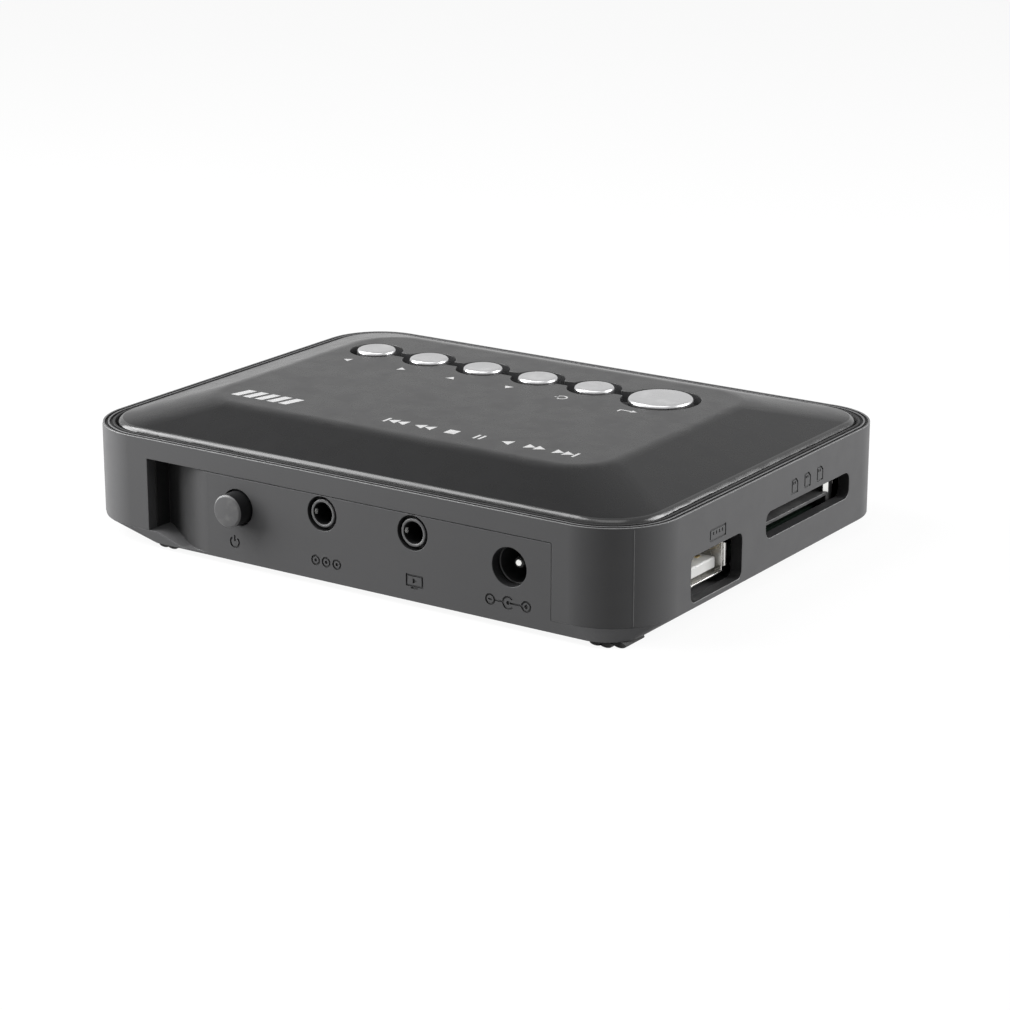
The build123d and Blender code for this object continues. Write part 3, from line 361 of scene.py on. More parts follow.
@dataclass
class Flat:
    """Flat drawing in millimetres: points and the faces between them."""

    points: list[Point2] = field(default_factory=list)
    faces: list[tuple[int, ...]] = field(default_factory=list)

    def __add__(self, other: "Flat") -> "Flat":
        """Both drawings in one.

        Args:
            other: Drawing to add.

        Returns:
            The joint drawing.
        """
        start = len(self.points)
        moved = [tuple(index + start for index in face) for face in other.faces]
        return Flat(self.points + other.points, self.faces + moved)

    def at(self, x: float, y: float, turn: float = 0.0) -> "Flat":
        """The drawing turned by degrees and moved."""
        c, s = math.cos(math.radians(turn)), math.sin(math.radians(turn))
        return Flat([(x + c * u - s * v, y + s * u + c * v) for u, v in self.points], list(self.faces))

    @staticmethod
    def row(drawings: Sequence["Flat"], pitch: float) -> "Flat":
        """Drawings side by side at an even pitch, about their middle."""
        first = (1 - len(drawings)) / 2
        return sum((drawn.at((i + first) * pitch, 0) for i, drawn in enumerate(drawings)), Flat())

    @staticmethod
    def polygon(*points: Point2) -> "Flat":
        """Filled polygon, counter-clockwise."""
        return Flat(list(points), [tuple(range(len(points)))])

    @staticmethod
    def stroke(points: Sequence[Point2], width: float = MARK_LINE, closed: bool = False) -> "Flat":
        """Line of even width along points, mitred at its corners.

        Args:
            points: Points of the line.
            width: Width of the line.
            closed: Whether the end joins the start.

        Returns:
            The drawn line.
        """
        count = len(points)
        path = [Vector(point) for point in points]
        drawn: list[Point2] = []
        for index, here in enumerate(path):
            before = path[index - 1] if closed or index else here
            after = path[(index + 1) % count] if closed or index < count - 1 else here
            runs = [run.normalized() for run in (here - before, after - here) if run.length]
            normals = [Vector((-run.y, run.x)) for run in runs]
            mitre = sum(normals, Vector((0, 0))).normalized()
            reach = mitre * (width / 2 / max(SHARPEST_MITRE, mitre.dot(normals[0])))
            drawn += [tuple(here + reach), tuple(here - reach)]
        steps = range(count if closed else count - 1)
        ends = 2 * count
        return Flat(drawn, [(2 * i, 2 * i + 1, (2 * i + 3) % ends, (2 * i + 2) % ends) for i in steps])

    @staticmethod
    def arc(radius: float, start: float, stop: float, width: float = MARK_LINE, steps: int = 28) -> "Flat":
        """Open arc of even width, angles in degrees."""
        angles = [math.radians(start + (stop - start) * i / steps) for i in range(steps + 1)]
        return Flat.stroke([(radius * math.cos(a), radius * math.sin(a)) for a in angles], width)

    @staticmethod
    def around(radius: float, steps: int) -> list[Point2]:
        """Even points on a circle."""
        turns = [math.tau * i / steps for i in range(steps)]
        return [(radius * math.cos(a), radius * math.sin(a)) for a in turns]

    @staticmethod
    def ring(radius: float, steps: int = 36) -> "Flat":
        """Closed circle."""
        return Flat.stroke(Flat.around(radius, steps), closed=True)

    @staticmethod
    def disc(radius: float, steps: int = 20) -> "Flat":
        """Filled circle."""
        return Flat.polygon(*Flat.around(radius, steps))

    @staticmethod
    def box(width: float, height: float) -> list[Point2]:
        """Corners of a rectangle."""
        u, v = width / 2, height / 2
        return [(-u, -v), (u, -v), (u, v), (-u, v)]

    def solid(self, name: str, place: Matrix, low: float, high: float) -> Mesh:
        """Closed solid with the drawing as its outline.

        Args:
            name: Name of the mesh.
            place: Matrix from drawing coordinates to the object's frame.
            low: Height of the back, in millimetres along the face's outward direction.
            high: Height of the front.

        Returns:
            The mesh.
        """
        sheet = bmesh.new()
        levels = [[sheet.verts.new(place @ Vector((u, v, h))) for u, v in self.points] for h in (low, high)]
        edges = {(face[i - 1], face[i]) for face in self.faces for i in range(len(face))}
        for face in self.faces:
            sheet.faces.new([levels[1][i] for i in face])
            sheet.faces.new([levels[0][i] for i in reversed(face)])
        for start, stop in edges:
            if (stop, start) not in edges:
                sheet.faces.new([levels[0][start], levels[0][stop], levels[1][stop], levels[1][start]])
        return closed_mesh(sheet, name)


def box_mm(node: str) -> tuple[Vector, Vector]:
    """Lower and upper corner of a CAD node's box, in millimetres."""
    low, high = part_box(node)
    return Vector(low) / MM, Vector(high) / MM


def show(name: str, data: bpy.types.ID) -> Thing:
    """Makes an object of a mesh, a lamp or a camera and links it to the scene.

    Args:
        name: Name of the object.
        data: What the object shows.

    Returns:
        The new object.
    """
    made = bpy.data.objects.new(name, data)
    bpy.context.scene.collection.objects.link(made)
    return made


def to_mesh(sheet: bmesh.types.BMesh, name: str) -> Mesh:
    """Writes an edit mesh to a new mesh and frees it.

    Args:
        sheet: Edit mesh.
        name: Name of the mesh.

    Returns:
        The new mesh.
    """
    mesh = bpy.data.meshes.new(name)
    sheet.to_mesh(mesh)
    sheet.free()
    return mesh


def closed_mesh(sheet: bmesh.types.BMesh, name: str) -> Mesh:
    """Writes an edit mesh of closed solids to a new mesh, with all faces outward."""
    bmesh.ops.recalc_face_normals(sheet, faces=sheet.faces)
    return to_mesh(sheet, name)


def loft(sheet: bmesh.types.BMesh, sections: Sequence[Sequence[Vector]]) -> None:
    """Adds a solid that runs through sections with the same number of points.

    Args:
        sheet: Edit mesh to add to.
        sections: Points of each section, in millimetres.
    """
    rings = [[sheet.verts.new(point * MM) for point in section] for section in sections]
    for lower, upper in zip(rings, rings[1:]):
        for i in range(len(lower)):
            sheet.faces.new([lower[i - 1], lower[i], upper[i], upper[i - 1]])
    sheet.faces.new(rings[0])
    sheet.faces.new(rings[-1])


def put(name: str, mesh: Mesh, *finishes: Finish) -> Thing:
    """Makes an object of a mesh, smooth but for its sharp edges.

    Args:
        name: Name of the piece.
        mesh: Mesh in the object's frame.
        finishes: Finishes, in the order of the mesh's material numbers.

    Returns:
        The new object.
    """
    mesh.materials.clear()
    for finish in finishes:
        mesh.materials.append(finish.material())
    mesh.shade_smooth()
    mesh.set_sharp_from_angle(angle=math.radians(SMOOTH_DEGREES))
    return show(name, mesh)


def enlist(piece: Thing, finish: Finish, body: str = CHASSIS, *nodes: str) -> None:
    """Attaches a piece to its body and hides the CAD nodes that it stands for.

    Args:
        piece: Finished object.
        finish: Finish of the piece; not used.
        body: Body that the piece rides on.
        nodes: CAD nodes that the piece replaces.
    """
    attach(piece, body)
    if nodes:
        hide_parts(*nodes)
    LOG.info("%s: %d faces on %s", piece.name, len(piece.data.polygons), body)


def settle(name: str, mesh: Mesh, finish: Finish, body: str = CHASSIS, *nodes: str) -> None:
    """Makes a piece of one finish and attaches it to its body."""
    enlist(put(name, mesh, finish), finish, body, *nodes)


def bent_strip(name: str, bend: Sequence[Point2], thickness: float, low: float, high: float) -> None:
    """Builds an upright strip of bright sheet metal.

    Args:
        name: Name of the piece.
        bend: X and Y of the points that the strip runs through, in millimetres.
        thickness: Thickness of the sheet.
        low: Height of the lower edge.
        high: Height of the upper edge.
    """
    settle(name, Flat.stroke(bend, thickness).solid(name, Matrix.Scale(MM, 4), low, high), BRIGHT)


def dress(finish: Finish, *nodes: str) -> None:
    """Gives CAD nodes that stay in view their finish.

    Args:
        finish: Finish to give.
        nodes: Names of the nodes.
    """
    for node in nodes:
        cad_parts[node].data.materials.clear()
        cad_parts[node].data.materials.append(finish.material())
        LOG.info("%s: dressed in %s", node, finish.name)


def evaluated(piece: Thing) -> Mesh:
    """Plain mesh of an object with its modifiers, which are then removed.

    Args:
        piece: Object with modifiers.

    Returns:
        The new mesh, which the object now uses.
    """
    graph = bpy.context.evaluated_depsgraph_get()
    mesh = bpy.data.meshes.new_from_object(piece.evaluated_get(graph))
    piece.modifiers.clear()
    piece.data = mesh
    return mesh


@dataclass(frozen=True)
class Patch:
    """Face of a moulding, in millimetres.

    Attributes:
        centre: Its middle.
        normal: Its outward direction.
        corners: Its corners.
        finish: Number of the finish that it has.
    """

    centre: Vector
    normal: Vector
    corners: list[Vector]
    finish: int


def moulding(node: str, name: str, finish: Finish, edge: Finish, edge_mm: float,
             marks: Sequence[Mesh] = (), extra: Sequence[Finish] = (),
             choose: Callable[[Patch], int] | None = None) -> None:
    """Carries a CAD node over as a merged copy with softened edges in a finish of their own and sunk marks.

    Args:
        node: CAD node to stand for.
        name: Name of the piece.
        finish: Finish of the faces.
        edge: Finish of the softened edges, which on some pieces is worn, carries a painted highlight or
            carries painted shade.
        edge_mm: Width of the softened edges.
        marks: Solids that are cut out of the surface.
        extra: Further finishes, after those of the faces and the edges.
        choose: Picks the number of the finish for a face.
    """
    sheet = bmesh.new()
    sheet.from_mesh(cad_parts[node].data)
    bmesh.ops.remove_doubles(sheet, verts=sheet.verts, dist=MERGE_MM * MM)
    bmesh.ops.dissolve_limit(sheet, angle_limit=math.radians(FLAT_DEGREES), verts=sheet.verts,
                             edges=sheet.edges)
    mesh = to_mesh(sheet, name)
    for layer in [item.name for item in mesh.attributes if item.name == "custom_normal"]:
        mesh.attributes.remove(mesh.attributes[layer])
    piece = put(name, mesh, finish, edge, *extra)
    soften = piece.modifiers.new("soften", "BEVEL")
    soften.limit_method, soften.angle_limit = "ANGLE", math.radians(EDGE_DEGREES)
    soften.width, soften.segments, soften.material = edge_mm * MM, 2, 1
    soften.use_clamp_overlap = False
    cutters = []
    for mark in marks:
        cutters.append(show(mark.name, mark))
        cut = piece.modifiers.new("sink", "BOOLEAN")
        cut.operation, cut.solver, cut.object, cut.use_self = "DIFFERENCE", "EXACT", cutters[-1], True
    even = piece.modifiers.new("even", "WEIGHTED_NORMAL")
    even.keep_sharp = True
    made = evaluated(piece)
    if choose:
        for face in made.polygons:
            corners = [made.vertices[i].co / MM for i in face.vertices]
            face.material_index = choose(Patch(face.center / MM, face.normal, corners, face.material_index))
    for cutter in cutters:
        bpy.data.objects.remove(cutter)
    enlist(piece, finish, CHASSIS, node)


def lathe(name: str, profile: Sequence[Point2], place: Matrix, steps: int = 96) -> Mesh:
    """Turns a profile about its axis into a closed round solid.

    Args:
        name: Name of the mesh.
        profile: Radius and height pairs in millimetres, starting and ending on the axis.
        place: Matrix from turning coordinates to the object's frame.
        steps: Number of segments round the axis.

    Returns:
        The mesh.
    """
    sheet = bmesh.new()
    rings = []
    for radius, height in profile:
        count = steps if radius > 0 else 1
        rings.append([sheet.verts.new(place @ Vector((
            radius * math.cos(math.tau * i / steps), radius * math.sin(math.tau * i / steps), height)))
            for i in range(count)])
    for lower, upper in zip(rings, rings[1:]):
        for i in range(steps):
            after = (i + 1) % steps
            corners = [lower[i % len(lower)], lower[after % len(lower)], upper[after % len(upper)],
                       upper[i % len(upper)]]
            sheet.faces.new(list(dict.fromkeys(corners)))
    return closed_mesh(sheet, name)


def rounded(radius: float, top: float, blend: float, steps: int = 6) -> list[Point2]:
    """Quarter-round shoulder of a turned profile, from the side up to the top face."""
    turns = [math.pi / 2 * i / steps for i in range(steps + 1)]
    return [(radius - blend + blend * math.cos(a), top - blend + blend * math.sin(a)) for a in turns]


class NodeModel:
    """Geometry Nodes tree with named inputs, run once to give a plain mesh."""

    def __init__(self, name: str) -> None:
        """Starts an empty tree with a geometry input and output.

        Args:
            name: Name of the tree.
        """
        self.tree = bpy.data.node_groups.new(name, "GeometryNodeTree")
        self.sheet = NodeSheet(self.tree)
        self.tree.interface.new_socket("Geometry", in_out="INPUT", socket_type="NodeSocketGeometry")
        self.tree.interface.new_socket("Geometry", in_out="OUTPUT", socket_type="NodeSocketGeometry")
        self.source = self.tree.nodes.new("NodeGroupInput")

    def size(self, name: str, kind: str = "NodeSocketFloat") -> Socket:
        """Adds a named input and returns its socket inside the tree."""
        self.tree.interface.new_socket(name, in_out="INPUT", socket_type=kind)
        return self.source.outputs[name]

    def sizes(self, *names: str) -> list[Socket]:
        """Adds several named inputs."""
        return [self.size(name) for name in names]

    def math(self, operation: str, first: object, second: object = 0.0) -> Socket:
        """One sum on two numbers."""
        return self.sheet.out("ShaderNodeMath", {0: first, 1: second}, operation=operation)

    def times(self, first: object, second: object) -> Socket:
        """Product of two numbers."""
        return self.math("MULTIPLY", first, second)

    def vector(self, x: object = 0.0, y: object = 0.0, z: object = 0.0) -> Socket:
        """Vector of three numbers."""
        return self.sheet.out("ShaderNodeCombineXYZ", {0: x, 1: y, 2: z})

    def place_x(self) -> Socket:
        """X of each point."""
        place = self.sheet.out("GeometryNodeInputPosition")
        return self.sheet.out("ShaderNodeSeparateXYZ", {0: place})

    def on_points(self, points: Socket, instance: Socket, **inputs: Socket) -> Socket:
        """Puts an instance on each point."""
        return self.sheet.out("GeometryNodeInstanceOnPoints", {
            "Points": points, "Instance": instance, **inputs})

    def row(self, piece: Socket, axis: int, **inputs: Socket) -> None:
        """Sets a centred row of one piece on each point, with Count and Pitch as sizes, and ends the tree.

        Args:
            piece: One piece.
            axis: 0 for a row along X, 1 for one along Y.
            inputs: Further inputs of the instances.
        """
        count, pitch = self.size("Count", "NodeSocketInt"), self.size("Pitch")
        start = self.times(self.times(self.math("SUBTRACT", count, 1.0), pitch), -0.5)
        skip = (0.0,) * axis
        line = self.sheet.add("GeometryNodeMeshLine", {
            "Count": count, "Start Location": self.vector(*skip, start),
            "Offset": self.vector(*skip, pitch)})
        pieces = self.on_points(line.outputs["Mesh"], piece, **inputs)
        self.close(self.on_points(self.source.outputs["Geometry"], pieces))

    def close(self, geometry: Socket) -> None:
        """Ends the tree in Realize Instances and Set Material.

        Args:
            geometry: What the tree has made.
        """
        stuff = self.size("Material", "NodeSocketMaterial")
        solid = self.sheet.out("GeometryNodeRealizeInstances", {"Geometry": geometry})
        dressed = self.sheet.out("GeometryNodeSetMaterial", {"Geometry": solid, "Material": stuff})
        self.sheet.add("NodeGroupOutput", {"Geometry": dressed})

    def mesh(self, name: str, finish: Finish, points: Sequence[Sequence[float]] = (),
             **sizes: float | int) -> Mesh:
        """Runs the tree.

        Args:
            name: Name of the mesh.
            finish: Finish of the result.
            points: Points that the tree works on, in millimetres.
            sizes: Values of the named inputs.

        Returns:
            The realized mesh.
        """
        base = bpy.data.meshes.new(name)
        base.from_pydata([Vector(point) * MM for point in points], [], [])
        carrier = show(name, base)
        run = carrier.modifiers.new("run", "NODES")
        run.node_group = self.tree
        items = self.tree.interface.items_tree
        keys = {item.name: item.identifier for item in items if item.in_out == "INPUT"}
        for label, value in {**sizes, "Material": finish.material()}.items():
            run[keys[label]] = value
        mesh = evaluated(carrier)
        bpy.data.objects.remove(carrier)
        return mesh


def rib_row_model() -> NodeModel:
    """Row of half-round ribs whose lengths fill a circle.

    Returns:
        The tree, with Count, Pitch, Width, Height and Radius as its sizes.
    """
    model = NodeModel("rib_row")
    width, height, radius = model.sizes("Width", "Height", "Radius")
    rib = model.sheet.add("GeometryNodeMeshCylinder", {"Vertices": 24, "Radius": 0.5, "Depth": 1.0})
    laid = model.sheet.out("GeometryNodeTransform", {
        "Geometry": rib.outputs["Mesh"], "Rotation": (math.pi / 2, 0.0, 0.0)})
    place = model.place_x()
    half = model.math("SQRT", model.math("SUBTRACT", model.times(radius, radius), model.times(place, place)))
    scale = model.vector(width, model.times(half, 2.0), model.times(height, 2.0))
    model.row(laid, 0, Scale=scale)
    return model


def leaf_row_model() -> NodeModel:
    """Row of bowed contact leaves along Y, each reaching along X.

    Returns:
        The tree, with Count, Pitch, Length, Width, Thickness and Bow as its sizes.
    """
    model = NodeModel("leaf_row")
    length, width, thickness, bow = model.sizes("Length", "Width", "Thickness", "Bow")
    leaf = model.sheet.add("GeometryNodeMeshCube", {
        "Size": model.vector(length, width, thickness), "Vertices X": 15, "Vertices Y": 2, "Vertices Z": 2})
    share = model.math("ADD", model.math("DIVIDE", model.place_x(), length), 0.5)
    lift = model.times(model.math("SINE", model.times(share, math.pi)), bow)
    bent = model.sheet.out("GeometryNodeSetPosition", {
        "Geometry": leaf.outputs["Mesh"], "Offset": model.vector(0.0, 0.0, lift)})
    model.row(bent, 1)
    return model


def screw_set_model(skirt_share: float = 0.6, crown_share: float = 0.72, slot_reach: float = 1.15,
                    slot_depth: float = 0.62) -> NodeModel:
    """Pan-head screws with crossed slots, one on each point, with the seat of the head at the point.

    Args:
        skirt_share: Height of the head's straight part, as a share of the head's height.
        crown_share: Radius of the head's top, as a share of the head's radius.
        slot_reach: Length of the slots, as a share of the head's radius.
        slot_depth: Height of the bars that cut the slots, as a share of the head's height.

    Returns:
        The tree, with Head Radius, Head Height, Shank Radius, Shank Length, Slot Width and Turn as sizes.
    """
    model = NodeModel("screw_set")
    head_radius, head_height, shank_radius, shank_length, slot, turn = model.sizes(
        "Head Radius", "Head Height", "Shank Radius", "Shank Length", "Slot Width", "Turn")
    skirt = model.times(head_height, skirt_share)
    crown = model.times(head_radius, crown_share)

    def cone(vertices: int, top: Socket, bottom: Socket, depth: Socket, z: object) -> Socket:
        """Round piece of the screw, at a height."""
        made = model.sheet.add("GeometryNodeMeshCone", {
            "Vertices": vertices, "Radius Top": top, "Radius Bottom": bottom, "Depth": depth})
        return raised(made.outputs["Mesh"], z)

    def raised(geometry: Socket, z: object) -> Socket:
        """Geometry lifted to a height."""
        return model.sheet.out("GeometryNodeTransform", {
            "Geometry": geometry, "Translation": model.vector(0.0, 0.0, z)})

    def joined(*parts: Socket) -> Socket:
        """Several parts as one.

        Args:
            parts: Geometry of each part.

        Returns:
            The joint geometry.
        """
        whole = model.sheet.add("GeometryNodeJoinGeometry")
        for part in parts:
            model.tree.links.new(part, whole.inputs[0])
        return whole.outputs[0]

    reach, depth = model.times(head_radius, slot_reach), model.times(head_height, slot_depth)
    bars = [model.sheet.add("GeometryNodeMeshCube", {"Size": model.vector(*size, depth)}).outputs["Mesh"]
            for size in ((reach, slot), (slot, reach))]
    top = cone(48, crown, head_radius, model.math("SUBTRACT", head_height, skirt), skirt)
    cross = joined(*[raised(bar, head_height) for bar in bars])
    slotted = model.sheet.out("GeometryNodeMeshBoolean", {"Mesh 1": top, "Mesh 2": cross},
                              operation="DIFFERENCE", solver="EXACT")
    whole = joined(slotted, cone(48, head_radius, head_radius, skirt, 0.0),
                   cone(32, shank_radius, shank_radius, shank_length, model.times(shank_length, -1.0)))
    model.close(model.on_points(model.source.outputs["Geometry"], whole, Rotation=model.vector(turn)))
    return model


class Marks:
    """Generic pictograms, drawn in millimetres about their own centres."""

    @staticmethod
    def power() -> Flat:
        """Broken circle with an upright bar."""
        return Flat.arc(0.88, 128, 412) + Flat.stroke([(0, 0.15), (0, 1.15)])

    @staticmethod
    def three_plugs() -> Flat:
        """Three plugs side by side."""
        return Flat.row([Flat.ring(0.72) + Flat.disc(0.26)] * 3, 2.1)

    @staticmethod
    def screen() -> Flat:
        """Screen on a foot."""
        return (Flat.stroke(Flat.box(3.0, 1.7), closed=True).at(0, 0.15)
                + Flat.stroke([(-0.7, -1.05), (0.7, -1.05)])
                + Flat.polygon((-0.35, -0.3), (0.5, 0.15), (-0.35, 0.6)))

    @staticmethod
    def polarity() -> Flat:
        """Centre-positive barrel plug."""
        flat, upright = Flat.stroke([(-0.35, 0), (0.35, 0)]), Flat.stroke([(0, -0.35), (0, 0.35)])
        minus, plus = Flat.ring(0.78) + flat, Flat.ring(0.78) + flat + upright
        barrel = Flat.arc(0.95, 40, 320) + Flat.disc(0.32)
        leads = Flat.stroke([(-2.5, 0), (-0.97, 0)]) + Flat.stroke([(0.34, 0), (2.5, 0)])
        return minus.at(-3.3, 0) + plus.at(3.3, 0) + barrel + leads

    @staticmethod
    def plug() -> Flat:
        """Flat four-pole plug, seen from its end."""
        poles = Flat.row([Flat.stroke([(0, -0.1), (0, 0.45)])] * 4, 0.9)
        return Flat.stroke(Flat.box(4.6, 1.7), closed=True) + poles

    @staticmethod
    def cards() -> Flat:
        """Three memory cards with cut corners."""
        card = Flat.stroke([(-0.9, -1.1), (0.9, -1.1), (0.9, 0.5), (0.3, 1.1), (-0.9, 1.1)], closed=True)
        pad = Flat.stroke([(0, 0.3), (0, 0.75)])
        return Flat.row([card + pad.at(-0.45, 0) + pad.at(0.05, 0)] * 3, 4.2)

    @staticmethod
    def triangle(turn: float) -> Flat:
        """Solid arrow head that points up when it isn't turned."""
        return Flat.polygon((-0.85, -0.6), (0.85, -0.6), (0.0, 0.75)).at(0, 0, turn)

    @staticmethod
    def back() -> Flat:
        """Open circle with an arrow head."""
        return Flat.arc(0.9, 70, 370, 0.28) + Flat.polygon((0.45, 0.25), (1.35, 0.25), (0.9, -0.55))

    @staticmethod
    def enter() -> Flat:
        """Arrow that comes down and runs to the left."""
        return (Flat.stroke([(1.5, 0.9), (1.5, -0.15), (-0.6, -0.15)])
                + Flat.polygon((-1.6, -0.15), (-0.5, -0.8), (-0.5, 0.5)))

    @staticmethod
    def transport() -> Flat:
        """Row of the common play, pause, stop and skip signs."""
        play = Flat.polygon((-0.8, -1.1), (1.0, 0.0), (-0.8, 1.1))
        bar = Flat.polygon(*Flat.box(0.44, 2.2))
        stop = Flat.polygon(*Flat.box(2, 2))
        wind = Flat.row([play] * 2, 1.8)
        skip = wind + bar.at(2.2, 0)
        pause = Flat.row([bar] * 2, 1.0)
        return Flat.row([skip.at(0, 0, 180), wind.at(0, 0, 180), play, pause, stop, wind, skip], 5.3)

    @staticmethod
    def bars() -> Flat:
        """Five slanted bars of even height."""
        return Flat.row([Flat.polygon((-1.3, -1.9), (0.3, -1.9), (1.3, 1.9), (-0.3, 1.9))] * 5, 2.5)


@dataclass
class CaseFrame:
    """Wall frame of the case, with the sunk side marks and the fine mould lines at its corners.

    Attributes:
        left_x: Plane of the left wall, in millimetres.
        edge: Width of the softened edges.
        mark_depth: Depth of the sunk marks.
        plug_mark: Y and Z of the mark over the flat socket.
        card_mark: Y and Z of the mark over the card slot.
        corners: Centre, radius and middle angle of each rounded corner.
        line_width: Width of a mould line.
        line_proud: Height of a mould line.
        line_z: Lower and upper end of the mould lines.
        wall_inner_x: Inner plane of the left wall.
        middle_y: Y of the middle of the case.
        half_depth: Half depth of the case.
        rim_low: Height from which a face can belong to the stepped rim.
        rim_start: Distance of the stepped rim from the outer outline.
        rim_z: Height of the lands of the rim.
        land_end: Distance from the outer outline up to which the lands are as light as the walls.
        windows: Y and Z range of each window in the left wall.
    """

    left_x: float = -55.0
    edge: float = 0.07
    mark_depth: float = 0.2
    plug_mark: Point2 = (15.6, 13.2)
    card_mark: Point2 = (-12.9, 14.5)
    corners: tuple[tuple[float, float, float, float], ...] = (
        (-43.0, 27.4, 12.0, 139.0), (43.0, 27.4, 12.0, 41.0),
        (-44.5, -31.7, 10.5, 221.0), (44.5, -31.7, 10.5, -41.0))
    line_width: float = 0.24
    line_proud: float = 0.06
    line_z: Point2 = (3.05, 18.3)
    wall_inner_x: float = -52.95
    middle_y: float = -1.4
    half_depth: float = 40.8
    rim_low: float = 18.0
    rim_start: float = 0.25
    rim_z: float = 18.6
    land_end: float = 1.3
    windows: tuple[tuple[Point2, Point2], ...] = (
        ((7.95, 23.45), (3.75, 11.25)), ((-27.45, 0.45), (7.83, 12.29)))

    def build(self) -> None:
        """Builds the walls and the mould lines."""
        marks = [
            drawing.solid(name, Facing.LEFT.place((self.left_x, y, z)), -self.mark_depth, self.mark_depth)
            for name, drawing, (y, z) in (("plug_mark", Marks.plug(), self.plug_mark),
                                          ("card_mark", Marks.cards(), self.card_mark))]
        moulding("upper_housing", "case_walls", CASE, CASE_EDGE_WEAR_AND_HIGHLIGHT, self.edge, marks, extra=(REVEAL_SHADE, RIM_SHADE, LAND),
                 choose=self.finish_of)
        # The mould lines take the lighter edge finish, which is partly a painted highlight on them.
        settle("mould_lines", self.mould_lines(), CASE_EDGE_WEAR_AND_HIGHLIGHT)

    def finish_of(self, patch: Patch) -> int:
        """Number of a face's finish: painted shade in the reveals of the windows and on the steps of the
        rim.

        Args:
            patch: Face of the wall frame.

        Returns:
            2 for a reveal and 3 for the rim's steps, both painted shade, 4 for its lands, else the number
            that it has.
        """
        x, *across = patch.centre
        # A face in the reveal of a window gets painted shade.
        inside = any(all(low - SLACK_MM < value < high + SLACK_MM
                         for value, (low, high) in zip(across, window)) for window in self.windows)
        if inside and abs(patch.normal.x) < UPRIGHT and self.left_x < x < self.wall_inner_x:
            return 2
        insets = [self.inset(corner) for corner in patch.corners]
        # Painted shade on the rim's steps and gap; the lands keep the wall's colour.
        if min(insets) > self.rim_start and min(corner.z for corner in patch.corners) > self.rim_low:
            land = max(insets) < self.land_end and patch.centre.z > self.rim_z - SLACK_MM
            return 4 if land and patch.normal.z > UPRIGHT else 3
        return patch.finish

    def inset(self, point: Vector) -> float:
        """Distance of a point from the outer outline of the case.

        Args:
            point: Point in millimetres.

        Returns:
            The distance, which is positive inside.
        """
        rear = point.y > self.middle_y
        radius = self.corners[0][2] if rear else self.corners[2][2]
        over = Vector((abs(point.x) + self.left_x, abs(point.y - self.middle_y) - self.half_depth))
        over += Vector((radius, radius))
        outside = Vector((max(over.x, 0.0), max(over.y, 0.0))).length
        return radius - outside - min(max(over.x, over.y), 0.0)

    def mould_lines(self) -> Mesh:
        """Thin upright ridges where the mould closed, one on each corner.

        Returns:
            The mesh.
        """
        sheet = bmesh.new()
        for x, y, radius, angle in self.corners:
            out = Vector((math.cos(math.radians(angle)), math.sin(math.radians(angle)), 0))
            side = Vector((-out.y, out.x, 0)) * self.line_width / 2
            foot = Vector((x, y, 0)) + out * (radius - self.line_proud)
            section = [foot - side, foot + out * self.line_proud * 2, foot + side]
            loft(sheet, [[point + Vector((0, 0, z)) for point in section] for z in self.line_z])
        return closed_mesh(sheet, "mould_lines")


@dataclass
class KeyCover:
    """Hipped cover with its printed signs.

    Attributes:
        deck_z: Height of the deck, in millimetres.
        edge: Width of the softened edges.
        ink: Thickness of the print.
        lip_top: Height up to which the rounded lip of the cover reaches.
        lip_tilt: Least and largest share of a lip face's normal along Z.
        recess: X half width, Y range and lower height of the key recesses.
        signs: Sign of each key with its place on the deck.
        transport_at: Centre of the row of transport signs.
        bars_at: Centre of the slanted bars.
    """

    deck_z: float = 23.0
    edge: float = 0.1
    ink: float = 0.02
    lip_top: float = 19.2
    lip_tilt: Point2 = (0.05, 0.96)
    recess: tuple[float, Point2, float] = (37.2, (-21.6, -7.8), 20.9)
    signs: tuple[tuple[Flat, float, float], ...] = field(default_factory=lambda: (
        (Marks.triangle(-90), 32.5, -6.6), (Marks.triangle(90), 20.8, -6.6),
        (Marks.triangle(180), 10.4, -6.6), (Marks.triangle(0), -0.9, -6.9),
        (Marks.back(), -12.0, -6.5), (Marks.enter(), -25.6, -5.4)))
    transport_at: Point2 = (-14.2, 20.7)
    bars_at: Point2 = (28.5, 20.7)

    def build(self) -> None:
        """Builds the cover and its print."""
        moulding("top_cover", "key_cover", COVER, COVER_EDGE, self.edge, extra=(LIP, RECESS),
                 choose=self.finish_of)
        self.print_on("key_signs", sum((drawing.at(x, y) for drawing, x, y in self.signs), Flat()))
        rear_signs = Marks.transport().at(*self.transport_at) + Marks.bars().at(*self.bars_at)
        self.print_on("deck_signs", rear_signs)

    def finish_of(self, patch: Patch) -> int:
        """Number of a face's finish: glossier on the rounded lip, matt in the key recesses.

        Args:
            patch: Face of the cover.

        Returns:
            2 for the lip, 3 for a recess, else the number that the face has.
        """
        x, y, z = patch.centre
        half, (front, rear), low = self.recess
        if z < self.lip_top and self.lip_tilt[0] < patch.normal.z < self.lip_tilt[1]:
            return 2
        if low < z < self.deck_z - SLACK_MM and abs(x) < half and front < y < rear:
            return 3
        return patch.finish

    def print_on(self, name: str, drawing: Flat) -> None:
        """Prints a drawing, given in deck coordinates, on the deck."""
        mesh = drawing.solid(name, Facing.DECK.place((0, 0, self.deck_z)), -self.ink, self.ink)
        settle(name, mesh, PRINT)


